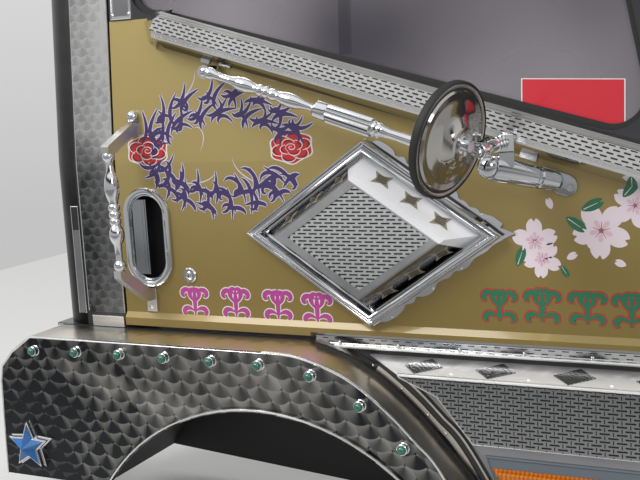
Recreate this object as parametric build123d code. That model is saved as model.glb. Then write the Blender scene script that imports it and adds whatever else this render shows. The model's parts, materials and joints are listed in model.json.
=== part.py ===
from build123d import *
import os
from math import atan2, cos, degrees, hypot, radians, sin, sqrt, tan

os.makedirs("parts", exist_ok=True)

# Right-hand side of a truck cab with its door, in millimetres.
# +X is forward, +Z is up and -Y is outboard. Sizes are from a datum on the door's outer skin.
# The finished pieces are moved so that the origin is the middle of the cab floor mounting face.

# Door
door_rear = -455.0
door_front = 680.0
door_bottom = -186.0
door_top = 1100.0
door_thick = 55.0
low_step_x = -27.0
low_step_high = 9.0
belt_flat = 435.0
belt_rear = 470.0
belt_front = 142.0
lean_start = 150.0
lean = radians(4.0)
screen_slope = tan(radians(12.0))
door_gap = 6.0
rear_gap = 7.0
bead_high = 29.0
bead_crease = 11.0
bead_proud = 8.0

# Window
frame_wide = 52.0
frame_thick = 38.0
seal_wide = 12.0
glass_thick = 5.0
glass_set = 12.0
frame_low = 4.0
seal_set = 6.0
seal_deep = 26.0
corner_round = 60.0
bar_wide = 20.0
bar_at = 56.0
bar_deep = 12.0
corner_plate_rise = 85.0

# Cab frame
cab_rear = -643.0
cab_front = 760.0
post_rear = -560.0
post_deep = 118.0
skin = 2.0
rail_high = 70.0
sill_top = -191.0
sill_high = 68.0
sill_deep = 108.0
scuff_low = -206.0
strip_inset = 5.0
foot_high = 24.0
corner_radius = 80.0
corner_wall = 30.0
back_deep = 200.0

# Mounting holes
bolt_radius = 5.5
sill_bolt_x = 600.0
sill_bolt_z = 40.0
sill_bolt_low = 18.0
sill_bolt_deep = 40.0
roof_bolt_x = 500.0
roof_bolt_r = 5.5
roof_bolt_deep = 40.0

# Wheel arch
arch_x = -92.4
arch_top = -307.3
arch_radius = 431.0
arch_face = -117.0
sheet = 3.0
ledge_rear = -618.0
ledge_front = -36.0
arch_tail = -715.0
tail_bottom = -495.0
arch_foot = -560.0
foot_band = 60.0
liner_gap = 14.0
liner_thick = 4.0
liner_deep = 150.0
hanger_wide = 30.0
lip_wide = 8.0
lip_proud = 4.0
piping_radius = 4.5
piping_high = 7.0
piping_line = -8.0
piping_out = 38.0
lamp_radius = 8.5
lamp_base_radius = 10.0
lamp_base_high = 12.0
star_radius = 53.0
star_side = 16.0
star_high = 26.0
star_x = -641.0
star_z = -424.0

# Step
tread_top = -214.0
tread_rear = 90.0
step_rear = 191.0
step_middle = (261.0, -247.0)
step_low = 335.0
riser_bottom = -343.0
bumper_rear = 345.0
bumper_slant = 60.0
bumper_bottom = -520.0
bumper_thick = 40.0
side_lamp_x = 354.0
side_lamp_z = -364.0
side_lamp_long = 200.0
side_lamp_high = 70.0
side_lamp_slant = 40.0
side_lamp_deep = 20.0
side_lamp_proud = 8.0

# Ornament
diamond_x = 102.5
diamond_z = 14.2
frame_half = (251.5, 171.5)
frame_high = 25.0
ring_wide = 18.6
ring_clear = 1.3
groove_at = 8.0
groove_wide = 2.6
groove_deep = 5.0
lace_out = 12.0
lace_thick = 2.0
lace_cut = 170.0
crown_in = 49.0
screen_in = 64.0
box_high = 62.0
screen_sunk = 5.0
screen_thick = 3.0

# Sill trim below the glass: its outline on the skin and that of its smaller front
trim_base = [(-369.0, 388.0), (612.0, 82.0), (612.0, 164.0), (-348.0, 453.0), (-381.0, 431.0)]
trim_front = [(-325.0, 392.0), (612.0, 105.0), (612.0, 159.0), (-300.0, 436.0), (-321.0, 425.0)]
trim_strip = [(-304.0, 402.0), (600.0, 124.0), (600.0, 153.0), (-300.0, 425.0)]
trim_proud = 45.0
trim_in = 10.0
trim_sunk = 6.0

# Door handle, lock and grab handle
bezel_x = -386.0
bezel_z = 0.0
bezel_wide = 110.0
bezel_high = 204.0
bezel_rim = 14.0
bezel_proud = 8.0
pocket_deep = 30.0
cup_wall = 2.0
paddle_wide = 38.0
paddle_high = 155.0
paddle_thick = 9.0
paddle_gap = 3.0
paddle_stem = 16.0
lock_x = -294.0
lock_z = -76.0
lock_radius = 13.0
lock_high = 6.0
grab_out = -75.0
grab_top = (-413.4, grab_out, 180.0)
grab_low = (-406.8, grab_out, -61.0)
strap_wide = 22.0
tab_wide = 24.0
tab_thick = 4.0

# Brace bar and mirror
brace_rear = (-187.0, -62.0, 322.5)
knuckle = (358.5, -90.0, 141.0)
knuckle_radius = 20.0
flange_at = (447.0, 107.0)
flange_long = 74.0
flange_high = 36.0
flange_thick = 5.0
housing_radius = 20.0
elbow = (383.8, -76.0, 181.2)
elbow_radius = 12.5
socket_radius = 11.0
socket_drop = 16.3
tube_end = (367.9, -185.0, 173.3)
tube_radius = 8.8
tube_bore = 4.8
tube_bore_deep = 30.0
mirror_at = (332.5, -214.3, 194.9)
mirror_normal = (0.934, -0.257, -0.250)
mirror_radius = 93.1
rim_wide = 10.0
mirror_deep = 24.0
clamp_back = 16.0
clamp_long = 18.0
clamp_wall = 3.5
boss_radius = 18.0
prong_radius = 4.0
pivot_radius = 5.0

# Hinges and latch
hinge_x = door_front + door_gap / 2
hinge_y = -9.0
hinge_heights = (-60.0, 100.0)
hinge_high = 60.0
barrel_radius = 7.0
pin_radius = 4.0
pin_clear = 0.06
leaf_long = 62.0
leaf_thick = 4.0
striker_z = 30.0
striker_y = 36.0
striker_radius = 5.0
striker_long = 24.0
striker_wide = 26.0
plate_half = 28.0
plate_reach = 14.0
plate_thick = 1.5

# Inner side of the door
card_inset = 40.0
card_top = 90.0
card_thick = 5.0
armrest_box = [(-300.0, -20.0), (120.0, -20.0), (120.0, 25.0), (-300.0, 25.0)]
armrest_deep = 55.0
pull_plate = [(-200.0, 45.0), (-90.0, 45.0), (-90.0, 80.0), (-200.0, 80.0)]
pull_plate_thick = 7.0
pull_lever = [(-190.0, 55.0), (-110.0, 55.0), (-110.0, 70.0), (-190.0, 70.0)]
pull_lever_thick = 14.0

arch_z = arch_top - arch_radius
ledge_top = sill_top
sill_low = sill_top - sill_high
sill_in = skin + sill_deep
frame_top = door_top + door_gap + rail_high
mount_at = ((door_rear + door_front) / 2, sill_in, sill_low + sill_bolt_low + sill_bolt_z / 2)

outboard = Plane(origin=(0, 0, 0), x_dir=(1, 0, 0), z_dir=(0, -1, 0))
leaning = Plane(origin=(0, 0, lean_start), x_dir=(1, 0, 0), z_dir=(0, -cos(lean), sin(lean)))


def save(node, shape):
    """Write one sub-part, moved to the mount's frame."""
    moved = Pos(-mount_at[0], -mount_at[1], -mount_at[2]) * shape
    export_step(moved, f"parts/{node}.step")


def face_of(points):
    return make_face(Polyline(*points, close=True))


def slab(points, outer, inner):
    """An upright slab with its outline in X and Z, from the outer to the inner Y."""
    return extrude(outboard.offset(-inner) * face_of(points), amount=inner - outer)


def side_slab(points, start, end):
    """A slab with its outline in Y and Z, from one X to another."""
    return extrude(Plane.YZ.offset(start) * face_of(points), amount=end - start)


def plan_slab(points, low, high):
    """A slab with its outline in X and Y, from one height to another."""
    return extrude(Plane.XY.offset(low) * face_of(points), amount=high - low)


def leaning_face(points, radius=0):
    """A face on the leaning skin, with its outline given in X and true height."""
    local = [(x, (z - lean_start) / cos(lean)) for x, z in points]
    if radius:
        return make_face(FilletPolyline(*local, radius=radius, close=True))
    return face_of(local)


def leaning_slab(points, out, into, radius=0):
    """A slab on the leaning skin, from out outboard of it to into inboard of it."""
    return extrude(leaning.offset(-into) * leaning_face(points, radius), amount=out + into)


def skin_y(z):
    """How far inboard the skin lies at a height."""
    return max(0.0, z - lean_start) * tan(lean)


def skin_prism(outer, inner, left, right, low, high):
    """A wall that follows the skin's lean, between two depths behind the skin."""
    top = skin_y(high)
    points = [(outer, low), (outer, lean_start), (outer + top, high),
              (inner + top, high), (inner, lean_start), (inner, low)]
    return side_slab(points, left, right)


def along(start, end, shape):
    """Put a shape that lies along X from the origin onto the line from start to end."""
    line = Vector(*end) - Vector(*start)
    return Plane(origin=start, x_dir=line, z_dir=line.cross(Vector(0, 1, 0.2))) * shape


def rod(start, end, radius):
    line = Vector(*end) - Vector(*start)
    return extrude(Plane(origin=start, z_dir=line) * Circle(radius), amount=line.length)


def turned(rows):
    """A turned bar along X. A row is where a run ends, its radius there and how far it bows out."""
    at, radius = rows[0][0], rows[0][1]
    edges = [Line((at, 0), (at, radius))]
    for end, end_radius, bow in rows[1:]:
        if bow:
            middle = ((at + end) / 2, (radius + end_radius) / 2 + bow)
            edges.append(ThreePointArc((at, radius), middle, (end, end_radius)))
        else:
            edges.append(Line((at, radius), (end, end_radius)))
        at, radius = end, end_radius
    edges.append(Line((at, radius), (at, 0)))
    edges.append(Line((at, 0), (rows[0][0], 0)))
    return revolve(make_face(edges), axis=Axis.X, revolution_arc=360)


def rhombus(half):
    wide, high = half
    return [(diamond_x - wide, diamond_z), (diamond_x, diamond_z - high),
            (diamond_x + wide, diamond_z), (diamond_x, diamond_z + high)]


def shrunk(half, by):
    """A smaller rhombus whose sides lie that much further in."""
    wide, high = half
    share = 1 - by * hypot(wide, high) / (wide * high)
    return (wide * share, high * share)


# Outlines of the door
belt_slope = (belt_front - belt_rear) / (door_front - door_rear)
belt_bend = door_rear + (belt_flat - belt_rear) / belt_slope


def belt(x):
    """Height of the door's upper edge, level at the rear and falling to the front."""
    return min(belt_flat, belt_rear + belt_slope * (x - door_rear))


def front_edge(z):
    return door_front - max(0.0, z - belt_front) * screen_slope


def inset_window(by):
    """The window outline, moved in from the frame's outline."""
    side = frame_wide + by
    high = door_top - side
    front_low = front_edge(belt(door_front) + frame_wide) - side
    rise = frame_low + by
    return [(door_rear + side, belt_flat + rise), (belt_bend, belt_flat + rise),
            (front_low, belt(front_low) + rise), (front_edge(high) - side, high), (door_rear + side, high)]


# Cab frame, fixed
rear_post = skin_prism(skin, skin + post_deep, post_rear, door_rear - rear_gap, sill_top, frame_top)
save("rear_post", rear_post)

bend_x = cab_rear + corner_radius
bend_y = skin + corner_radius
inner_x = cab_rear + corner_wall
inner_y = skin + corner_wall
corner_face = make_face([
    Line((post_rear, skin), (bend_x, skin)),
    CenterArc((bend_x, bend_y), corner_radius, 180, 90),
    Line((cab_rear, bend_y), (cab_rear, back_deep)),
    Line((cab_rear, back_deep), (inner_x, back_deep)),
    Line((inner_x, back_deep), (inner_x, bend_y)),
    CenterArc((bend_x, bend_y), corner_radius - corner_wall, 180, 90),
    Line((bend_x, inner_y), (post_rear, inner_y)),
    Line((post_rear, inner_y), (post_rear, skin)),
])
corner_low = extrude(Plane.XY.offset(sill_top) * corner_face, amount=lean_start - sill_top)
corner_high = extrude(Plane.XY.offset(lean_start) * corner_face,
                      amount=(frame_top - lean_start) / cos(lean), dir=(0, sin(lean), cos(lean)))
save("corner_panel", corner_low + corner_high)

through = 2 * post_deep
post_front = front_edge(frame_top) + cab_front - door_front
post_outline = [(door_front + door_gap, sill_top), (cab_front, sill_top), (cab_front, belt_front),
                (post_front, frame_top), (front_edge(frame_top) + door_gap, frame_top),
                (door_front + door_gap, belt_front)]
post_room = skin_prism(skin, skin + post_deep, door_rear, cab_front, sill_top, frame_top)
save("front_post", slab(post_outline, -skin, through) & post_room)

rail_low = door_top + door_gap
rail_rear = door_rear - rear_gap
rail_outline = [(rail_rear, rail_low), (front_edge(rail_low) + door_gap, rail_low),
                (front_edge(frame_top) + door_gap, frame_top), (rail_rear, frame_top)]
rail_room = skin_prism(skin, skin + post_deep, rail_rear, cab_front, sill_top, frame_top)
cant_rail = slab(rail_outline, -skin, through) & rail_room
for side in (-1, 1):
    hole_y = skin + skin_y(frame_top) + post_deep / 2
    hole = Pos(side * roof_bolt_x / 2, hole_y, frame_top - roof_bolt_deep / 2)
    cant_rail -= hole * Cylinder(roof_bolt_r, roof_bolt_deep)
save("cant_rail", cant_rail)

sill = side_slab([(skin, sill_low), (sill_in, sill_low), (sill_in, sill_top), (skin, sill_top)],
                 cab_rear, cab_front)
bolt_start = sill_in - sill_bolt_deep
for x in (-1, 1):
    for z in (-1, 1):
        bolt_x = mount_at[0] + x * sill_bolt_x / 2
        bolt_z = mount_at[2] + z * sill_bolt_z / 2
        sill -= rod((bolt_x, bolt_start, bolt_z), (bolt_x, sill_in + 1, bolt_z), bolt_radius)
save("sill_rail", sill)

strip_rear = post_rear + strip_inset
strip_front = door_rear - strip_inset
foot_rear = strip_rear + 3 * strip_inset
foot_top = sill_top + foot_high
save("pillar_trim", skin_prism(0, skin, strip_rear, strip_front, foot_top + strip_inset, door_top))
save("pillar_foot", slab([(foot_rear, ledge_top + 1), (strip_front, ledge_top + 1),
                          (strip_front, foot_top), (foot_rear, foot_top)], -bead_proud, skin))
scuff_front_top = ledge_top + low_step_high - 1
scuff_step_x = low_step_x + strip_inset
save("scuff_strip", slab([(cab_rear, scuff_low), (cab_front, scuff_low), (cab_front, scuff_front_top),
                          (scuff_step_x, scuff_front_top), (scuff_step_x, ledge_top - 1),
                          (cab_rear, ledge_top - 1)], 0, skin))

# Wheel arch
# Rear part of the panel's outline, from its tail to where the ledge starts to fall.
rear_run = [(arch_tail, tail_bottom), (-707, -290), (-700, -258), (-670, -226), (ledge_rear, ledge_top),
            (ledge_front, ledge_top)]
# Its front part follows the wheel. A row is degrees from upright and millimetres outside the opening.
front_rows = [(10, 120.3), (20, 112.3), (29.5, 95), (37.5, 81), (45.5, 72)]


def arch_polar(angle, band):
    """A point that lies a band outside the wheel opening, at an angle from upright."""
    reach = arch_radius + band
    return (arch_x + reach * sin(radians(angle)), arch_z + reach * cos(radians(angle)))


def arch_level(band, z, side):
    """A point that lies a band outside the wheel opening, at a height."""
    return (arch_x + side * sqrt((arch_radius + band) ** 2 - (z - arch_z) ** 2), z)


def moved_in(points, by):
    """A line of points moved in towards the wheel, square to the line."""
    result = [(points[0][0] + by, points[0][1])]
    for before, point, after in zip(points, points[1:], points[2:]):
        run = (after[0] - before[0], after[1] - before[1])
        length = hypot(*run)
        result.append((point[0] + by * run[1] / length, point[1] - by * run[0] / length))
    return result + [(points[-1][0], points[-1][1] - by)]


def upper_run(by):
    """Edges of the panel's upper outline, moved in towards the wheel."""
    rear = moved_in(rear_run, by)
    foot = arch_level(foot_band - by, arch_foot, 1)
    front = [rear[-1]] + [arch_polar(angle, band - by) for angle, band in front_rows] + [foot]
    last = atan2(foot[0] - arch_x, foot[1] - arch_z)
    lines = [Line(rear[i], rear[i + 1]) for i in range(len(rear) - 1)]
    return lines + [Spline(*front, tangents=[(1, 0), (cos(last), -sin(last))])], rear[0], foot


def opening_arc(band, back):
    """The arc a band outside the wheel opening, from the foot over the top to the tail."""
    highest = (arch_x, arch_z + arch_radius + band)
    return ThreePointArc(arch_level(band, arch_foot, 1), highest, arch_level(band, back, -1))


def arc_strip(inner, outer):
    """A strip between two arcs round the wheel opening."""
    return make_face([
        opening_arc(inner, tail_bottom),
        Line(arch_level(inner, tail_bottom, -1), arch_level(outer, tail_bottom, -1)),
        opening_arc(outer, tail_bottom),
        Line(arch_level(outer, arch_foot, 1), arch_level(inner, arch_foot, 1)),
    ])


ledge_in = -arch_face - sheet
outer_run, tail_at, foot_at = upper_run(0)
inner_run, inner_tail, inner_foot = upper_run(sheet)
panel_face = make_face(outer_run + [Line(foot_at, arch_level(0, arch_foot, 1)), opening_arc(0, tail_bottom),
                                    Line(arch_level(0, tail_bottom, -1), tail_at)])
panel = extrude(outboard.offset(ledge_in) * panel_face, amount=sheet)
panel += extrude(outboard.offset(ledge_in) * arc_strip(0, lip_wide), amount=sheet + lip_proud)
save("arch_panel", panel)

# The ledge's level run has a rubber strip let in along the door, which stands up where the ledge falls.
ledge_face = make_face(outer_run + inner_run + [Line(tail_at, inner_tail), Line(foot_at, inner_foot)])
ledge = extrude(outboard.offset(0) * ledge_face, amount=ledge_in)
inlay = slab([(ledge_rear, ledge_top - sheet), (ledge_front, ledge_top - sheet),
              (ledge_front, ledge_top), (ledge_rear, ledge_top)],
             piping_line - piping_radius, piping_line + piping_radius)
save("arch_ledge", ledge - inlay)

high_run, high_tail, high_foot = upper_run(-piping_high)
piping_face = make_face(outer_run + high_run + [Line(tail_at, high_tail), Line(foot_at, high_foot)])
piping = extrude(outboard.offset(piping_out) * piping_face, amount=2 * piping_radius)
start_x = arch_polar(*front_rows[0])[0]
level_part = slab([(2 * arch_tail, 2 * arch_foot), (start_x, 2 * arch_foot),
                   (start_x, 0), (2 * arch_tail, 0)], 2 * arch_face, 0)
save("ledge_piping", (piping - level_part) + inlay)

liner_outer = liner_gap + liner_thick
liner_back = outboard.offset(-liner_deep)
liner = extrude(liner_back * arc_strip(liner_gap, liner_outer), amount=liner_deep + ledge_in)
wall_low = Line(arch_level(liner_outer, tail_bottom, -1), arch_level(liner_outer, arch_foot, 1))
wall_face = make_face([opening_arc(liner_outer, tail_bottom), wall_low])
liner += extrude(liner_back * wall_face, amount=liner_thick)
for angle in (-9, 11):
    x, z = arch_polar(angle, liner_outer)
    hanger = [(x - hanger_wide / 2, z - liner_thick), (x + hanger_wide / 2, z - liner_thick),
              (x + hanger_wide / 2, sill_low), (x - hanger_wide / 2, sill_low)]
    liner += slab(hanger, hanger_wide, 2 * hanger_wide)
save("arch_liner", liner)

# Marker lamps, one pitch apart: along the top of the arch panel, then round the wheel
lamp_places = [(-607, -220), (-499, -216), (-393, -214), (-288, -214), (-183, -214), (-80, -214)]
for angle, band in [(12.9, 93.6), (24.6, 78.7), (36.5, 57.1), (48.7, 27.2)]:
    lamp_places.append(arch_polar(angle, band))
bases = Part()
domes = Part()
for x, z in lamp_places:
    stand = Plane(origin=(x, arch_face, z), z_dir=(0, -1, 0))
    bases += extrude(stand * Circle(lamp_base_radius), amount=lamp_base_high)
    dome = revolve(make_face([Line((0, 0), (lamp_radius, 0)), CenterArc((0, 0), lamp_radius, 0, 90),
                              Line((0, lamp_radius), (0, 0))]), axis=Axis.Y, revolution_arc=360)
    domes += Plane(origin=(x, arch_face - lamp_base_high, z), x_dir=(1, 0, 0), z_dir=(0, 0, -1)) * dome
save("lamp_bases", bases)
save("lamp_domes", domes)


# Five-pointed star with a sloping top
def star_points(radius):
    points = []
    for index in range(10):
        reach = radius if index % 2 == 0 else radius * 0.45
        angle = radians(90 + 36 * index)
        points.append((star_x + reach * cos(angle), star_z + reach * sin(angle)))
    return points


star = slab(star_points(star_radius), arch_face - star_side, arch_face)
side_top = outboard.offset(star_side - arch_face)
crown_top = outboard.offset(star_high - arch_face)
star_foot = side_top * face_of(star_points(star_radius))
star_tip = crown_top * face_of(star_points(star_radius / 8))
star += loft([star_foot, star_tip], ruled=True)
save("star_badge", star)

# Step
tread_low = tread_top - sheet
tread_plan = [(tread_rear, skin), (cab_front, skin), (cab_front, arch_face), (step_rear, arch_face)]
save("step_tread", plan_slab(tread_plan, tread_low, tread_top))
riser_rear = [(step_rear, tread_low), step_middle, (step_low, riser_bottom)]
riser = slab(riser_rear + [(cab_front, riser_bottom), (cab_front, tread_low)], arch_face, arch_face + sheet)
save("step_riser", riser)
end_inside = [(step_low + sheet, riser_bottom), (step_middle[0] + sheet, step_middle[1]),
              (step_rear + 3 * sheet, tread_low)]
save("step_end", extrude(outboard.offset(0) * face_of(riser_rear + end_inside), amount=ledge_in))

lamp_low = side_lamp_z - side_lamp_high
lamp_front = side_lamp_x + side_lamp_long
bumper = slab([(bumper_rear, riser_bottom), (cab_front, riser_bottom), (cab_front, bumper_bottom),
               (bumper_rear + bumper_slant, bumper_bottom)], arch_face, arch_face + bumper_thick)
lamp_shape = [(side_lamp_x, side_lamp_z), (lamp_front, side_lamp_z), (lamp_front, lamp_low),
              (side_lamp_x + side_lamp_slant, lamp_low)]
bumper -= slab(lamp_shape, arch_face - 1, arch_face + side_lamp_deep)
save("bumper_side", bumper)
save("side_lamp", slab(lamp_shape, arch_face - side_lamp_proud, arch_face + side_lamp_deep))

# Door
shell = skin_prism(0, door_thick, door_rear, door_front, door_bottom, belt_rear)
above_belt = [(door_rear - 1, belt_flat), (belt_bend, belt_flat), (door_front + 1, belt(door_front + 1)),
              (door_front + 1, door_top), (door_rear - 1, door_top)]
shell -= leaning_slab(above_belt, door_thick, 2 * door_thick)
bead_top = door_bottom + bead_high
bead = [(0, door_bottom), (-bead_proud, door_bottom + 2), (-bead_proud, bead_top - bead_crease), (0, bead_top)]
shell += side_slab(bead, door_rear, door_front)
low_step = door_bottom + low_step_high
shell -= slab([(low_step_x, door_bottom - 1), (door_front + 1, door_bottom - 1),
               (door_front + 1, low_step), (low_step_x, low_step)], -2 * bead_proud, door_thick + 1)
pocket_wide = bezel_wide - 2 * bezel_rim
pocket_high = bezel_high - 2 * bezel_rim


def stadium(wide, high, outer, inner):
    """An upright stadium-shaped block about the bezel's middle."""
    shape = Rot(0, 0, 90) * SlotOverall(high, wide)
    return extrude(outboard.offset(-inner) * Pos(bezel_x, bezel_z) * shape, amount=inner - outer)


cup_wide = pocket_wide + 2 * cup_wall
cup_high = pocket_high + 2 * cup_wall
shell -= stadium(cup_wide, cup_high, -1, pocket_deep + cup_wall)
catch_clear = striker_radius + 6
catch_z = striker_wide / 2 + catch_clear
notch = slab([(door_rear - 1, striker_z - catch_z), (door_rear + striker_long, striker_z - catch_z),
              (door_rear + striker_long, striker_z + catch_z), (door_rear - 1, striker_z + catch_z)],
             striker_y - catch_clear, door_thick + 1)
save("door_shell", shell - notch)

frame_outline = [(door_rear, belt_flat), (belt_bend, belt_flat), (door_front, belt_front),
                 (front_edge(door_top), door_top), (door_rear, door_top)]
window_frame = leaning_slab(frame_outline, 0, frame_thick)
window_frame -= leaning_slab(inset_window(0), 1, frame_thick + 1, corner_round)
save("window_frame", window_frame)
glass_round = corner_round - seal_wide
seal = leaning_slab(inset_window(0), -seal_set, seal_deep, corner_round)
seal -= leaning_slab(inset_window(seal_wide), 1, frame_thick, glass_round)
save("window_seal", seal)
glass_back = glass_set + glass_thick
save("door_glass", leaning_slab(inset_window(seal_wide), -glass_set, glass_back, glass_round))
bar_low = belt(bar_at - bar_wide / 2) + frame_low + seal_wide
bar_high = door_top - frame_wide - seal_wide
save("window_bar", leaning_slab([(bar_at - bar_wide / 2, bar_low), (bar_at + bar_wide / 2, bar_low),
                                 (bar_at + bar_wide / 2, bar_high), (bar_at - bar_wide / 2, bar_high)],
                                -glass_back, glass_back + bar_deep))
plate_rear = door_rear + strip_inset
plate_front = door_rear + frame_wide + strip_inset
plate_top = belt_flat + corner_plate_rise
save("corner_plate", leaning_slab([(plate_rear, belt_flat), (plate_front, belt_flat),
                                   (plate_front, plate_top), (plate_rear, plate_top)], lace_thick, 0))

# Sill trim: a long box with a pointed rear end and a sunk, perforated strip along its front
behind_skin = skin_prism(0, 2 * door_thick, door_rear, door_front, door_bottom, door_top)
trim_back = leaning.offset(-trim_in) * leaning_face(trim_base)
trim = loft([trim_back, leaning.offset(trim_proud) * leaning_face(trim_front)], ruled=True)
strip_floor = trim_proud - trim_sunk
trim -= leaning_slab(trim_strip, trim_proud + 1, -strip_floor)
save("sill_trim", trim - behind_skin)
save("sill_trim_screen", leaning_slab(trim_strip, strip_floor + screen_thick, -strip_floor))

# Diamond ornament
lace_half = shrunk(frame_half, -lace_out)
cut_wide = lace_half[0] * (1 - lace_cut / lace_half[1])
lace = [(diamond_x - lace_half[0], diamond_z), (diamond_x - cut_wide, diamond_z - lace_cut),
        (diamond_x + cut_wide, diamond_z - lace_cut), (diamond_x + lace_half[0], diamond_z),
        (diamond_x + cut_wide, diamond_z + lace_cut), (diamond_x - cut_wide, diamond_z + lace_cut)]
save("diamond_plate", slab(lace, -lace_thick, 0))
outer_ring = slab(rhombus(frame_half), -frame_high, -lace_thick)
outer_ring -= slab(rhombus(shrunk(frame_half, ring_wide)), -frame_high - 1, 0)
groove = slab(rhombus(shrunk(frame_half, groove_at)), -frame_high - 1, -frame_high + groove_deep)
groove -= slab(rhombus(shrunk(frame_half, groove_at + groove_wide)), -frame_high - 2, 0)
save("diamond_frame", outer_ring - groove)
box_foot = outboard.offset(lace_thick) * face_of(rhombus(shrunk(frame_half, ring_wide + ring_clear)))
box_crown = outboard.offset(box_high) * face_of(rhombus(shrunk(frame_half, crown_in)))
box = loft([box_foot, box_crown], ruled=True)
screen_back = -box_high + screen_sunk + screen_thick
screen_outline = rhombus(shrunk(frame_half, screen_in))
box -= slab(screen_outline, -box_high - 1, screen_back)
save("diamond_box", box)
save("diamond_screen", slab(screen_outline, -box_high + screen_sunk, screen_back))

# Recessed door handle
bezel = stadium(bezel_wide, bezel_high, -bezel_proud, 0)
bezel += stadium(cup_wide, cup_high, 0, pocket_deep + cup_wall)
save("handle_bezel", bezel - stadium(pocket_wide, pocket_high, -2 * bezel_proud, pocket_deep))
paddle_rear = bezel_x - pocket_wide / 2 + paddle_gap
paddle_front = paddle_rear + paddle_wide
paddle = slab([(paddle_rear, bezel_z - paddle_high / 2), (paddle_front, bezel_z - paddle_high / 2),
               (paddle_front, bezel_z + paddle_high / 2), (paddle_rear, bezel_z + paddle_high / 2)],
              -cup_wall, paddle_thick - cup_wall)
stem_front = paddle_rear + paddle_stem
paddle += slab([(paddle_rear, bezel_z - paddle_stem), (stem_front, bezel_z - paddle_stem),
                (stem_front, bezel_z + paddle_stem), (paddle_rear, bezel_z + paddle_stem)], 0, pocket_deep)
paddle &= stadium(pocket_wide - paddle_gap, pocket_high - paddle_gap, -bezel_proud, pocket_deep)
save("handle_paddle", paddle)
save("key_lock", extrude(outboard * Pos(lock_x, lock_z) * Circle(lock_radius), amount=lock_high))

# Grab handle, a turned bar on two straps
bar_rows = [(0, 8, 0), (4, 12, 0), (14, 12, 1), (20, 7, 0), (38, 8, 0), (99, 9, 7), (103, 9, 0),
            (117, 9, 3), (131, 9, 3), (145, 9, 3), (184, 8, 7), (204, 7, 0), (216, 7.5, 0),
            (238, 8, 5), (241, 7, 0)]
# The straps' outlines: how far inboard of the bar's axis, and the height.
top_strap = [(-10, 178), (-10, 192), (62, 232), (90, 232), (90, 206), (60, 206), (8, 176)]
low_strap = [(-10, -56), (-10, -72), (56, -128), (90, -128), (90, -104), (64, -104), (8, -58)]


def strap(outline, at_x, turn):
    """A strap that runs in to the door from the bar, turned about the upright through the bar."""
    return Pos(at_x, grab_out, 0) * Rot(0, 0, turn) * side_slab(outline, -strap_wide / 2, strap_wide / 2)


grab = along(grab_top, grab_low, turned(bar_rows))
grab += strap(top_strap, grab_top[0], -10)
grab += strap(low_strap, grab_low[0], -13.5)
tab_x = grab_low[0] - grab_out * tan(radians(13.5))
tab_top = low_strap[4][1]
tab_low = low_strap[2][1] - strap_wide - tab_thick
grab += slab([(tab_x - tab_wide / 2, tab_low), (tab_x + tab_wide / 2, tab_low),
              (tab_x + tab_wide / 2, tab_top), (tab_x - tab_wide / 2, tab_top)], -tab_thick, 0)
save("grab_handle", grab - behind_skin)

# Brace bar from the belt to the mirror knuckle
brace_rows = [(0, 8, 0), (5, 11, 0), (18, 11, 1), (24, 8, 0), (47, 7.4, 0), (63, 9, 0), (109, 9.5, 4.2),
              (117, 9, 0), (130, 9, 2), (143.5, 9, 2), (159.5, 9, 2), (163, 9.5, 0), (215, 8.5, 4.2),
              (234, 6.4, 0), (240, 6.8, 0), (241, 14, 0), (244, 16.5, 0), (264, 16.5, 0), (267, 15, 0),
              (268, 17, 0), (355, 17, 0), (357, 12, 0), (366, 12, 2.5), (376, 11, 2.5), (391, 8.4, 0),
              (430, 10, 0), (545, 10, 0)]
brace = along(brace_rear, knuckle, turned(brace_rows))
foot_inside = (brace_rear[0] - knuckle_radius, skin_y(brace_rear[2]) + skin, brace_rear[2])
brace += rod(foot_inside, brace_rear, elbow_radius)
brace += Pos(*brace_rear) * Sphere(elbow_radius)
save("belt_pipe", brace - behind_skin)

# Mirror bracket: flange, housing, knuckle and the upright that carries the arm
flange_x, flange_z = flange_at
tilt = degrees(atan2(knuckle[2] - flange_z, knuckle[0] - flange_x))
flange_face = Pos(flange_x, flange_z) * Rot(0, 0, tilt) * SlotOverall(flange_long, flange_high)
bracket = extrude(outboard * flange_face, amount=flange_thick)
arm_start = (flange_x, -flange_thick, flange_z)
bracket += rod(arm_start, knuckle, housing_radius) - behind_skin
bracket += Pos(*knuckle) * Sphere(knuckle_radius)
socket_top = elbow[2] - socket_drop
socket_low = (elbow[0], elbow[1], socket_top - knuckle_radius)
bracket += rod(knuckle, socket_low, tube_radius)
bracket += rod(socket_low, (elbow[0], elbow[1], socket_top), socket_radius)
bracket += rod((elbow[0], elbow[1], socket_top), (elbow[0], elbow[1], elbow[2] - 4.3), pivot_radius)
save("mirror_bracket", bracket)

# Mirror arm, which swings about the upright line through its elbow
arm = Pos(*elbow) * Sphere(elbow_radius)
arm += rod((elbow[0], elbow[1], socket_top + 0.3), elbow, socket_radius)
arm += rod(elbow, tube_end, tube_radius)
tube_line = (Vector(*tube_end) - Vector(*elbow)).normalized()
past_end = tuple(Vector(*tube_end) + tube_line)
arm -= rod(tuple(Vector(*tube_end) - tube_line * tube_bore_deep), past_end, tube_bore)
arm -= rod((elbow[0], elbow[1], socket_top), (elbow[0], elbow[1], elbow[2] - 4), pivot_radius + pin_clear)
save("mirror_arm", arm)

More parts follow.
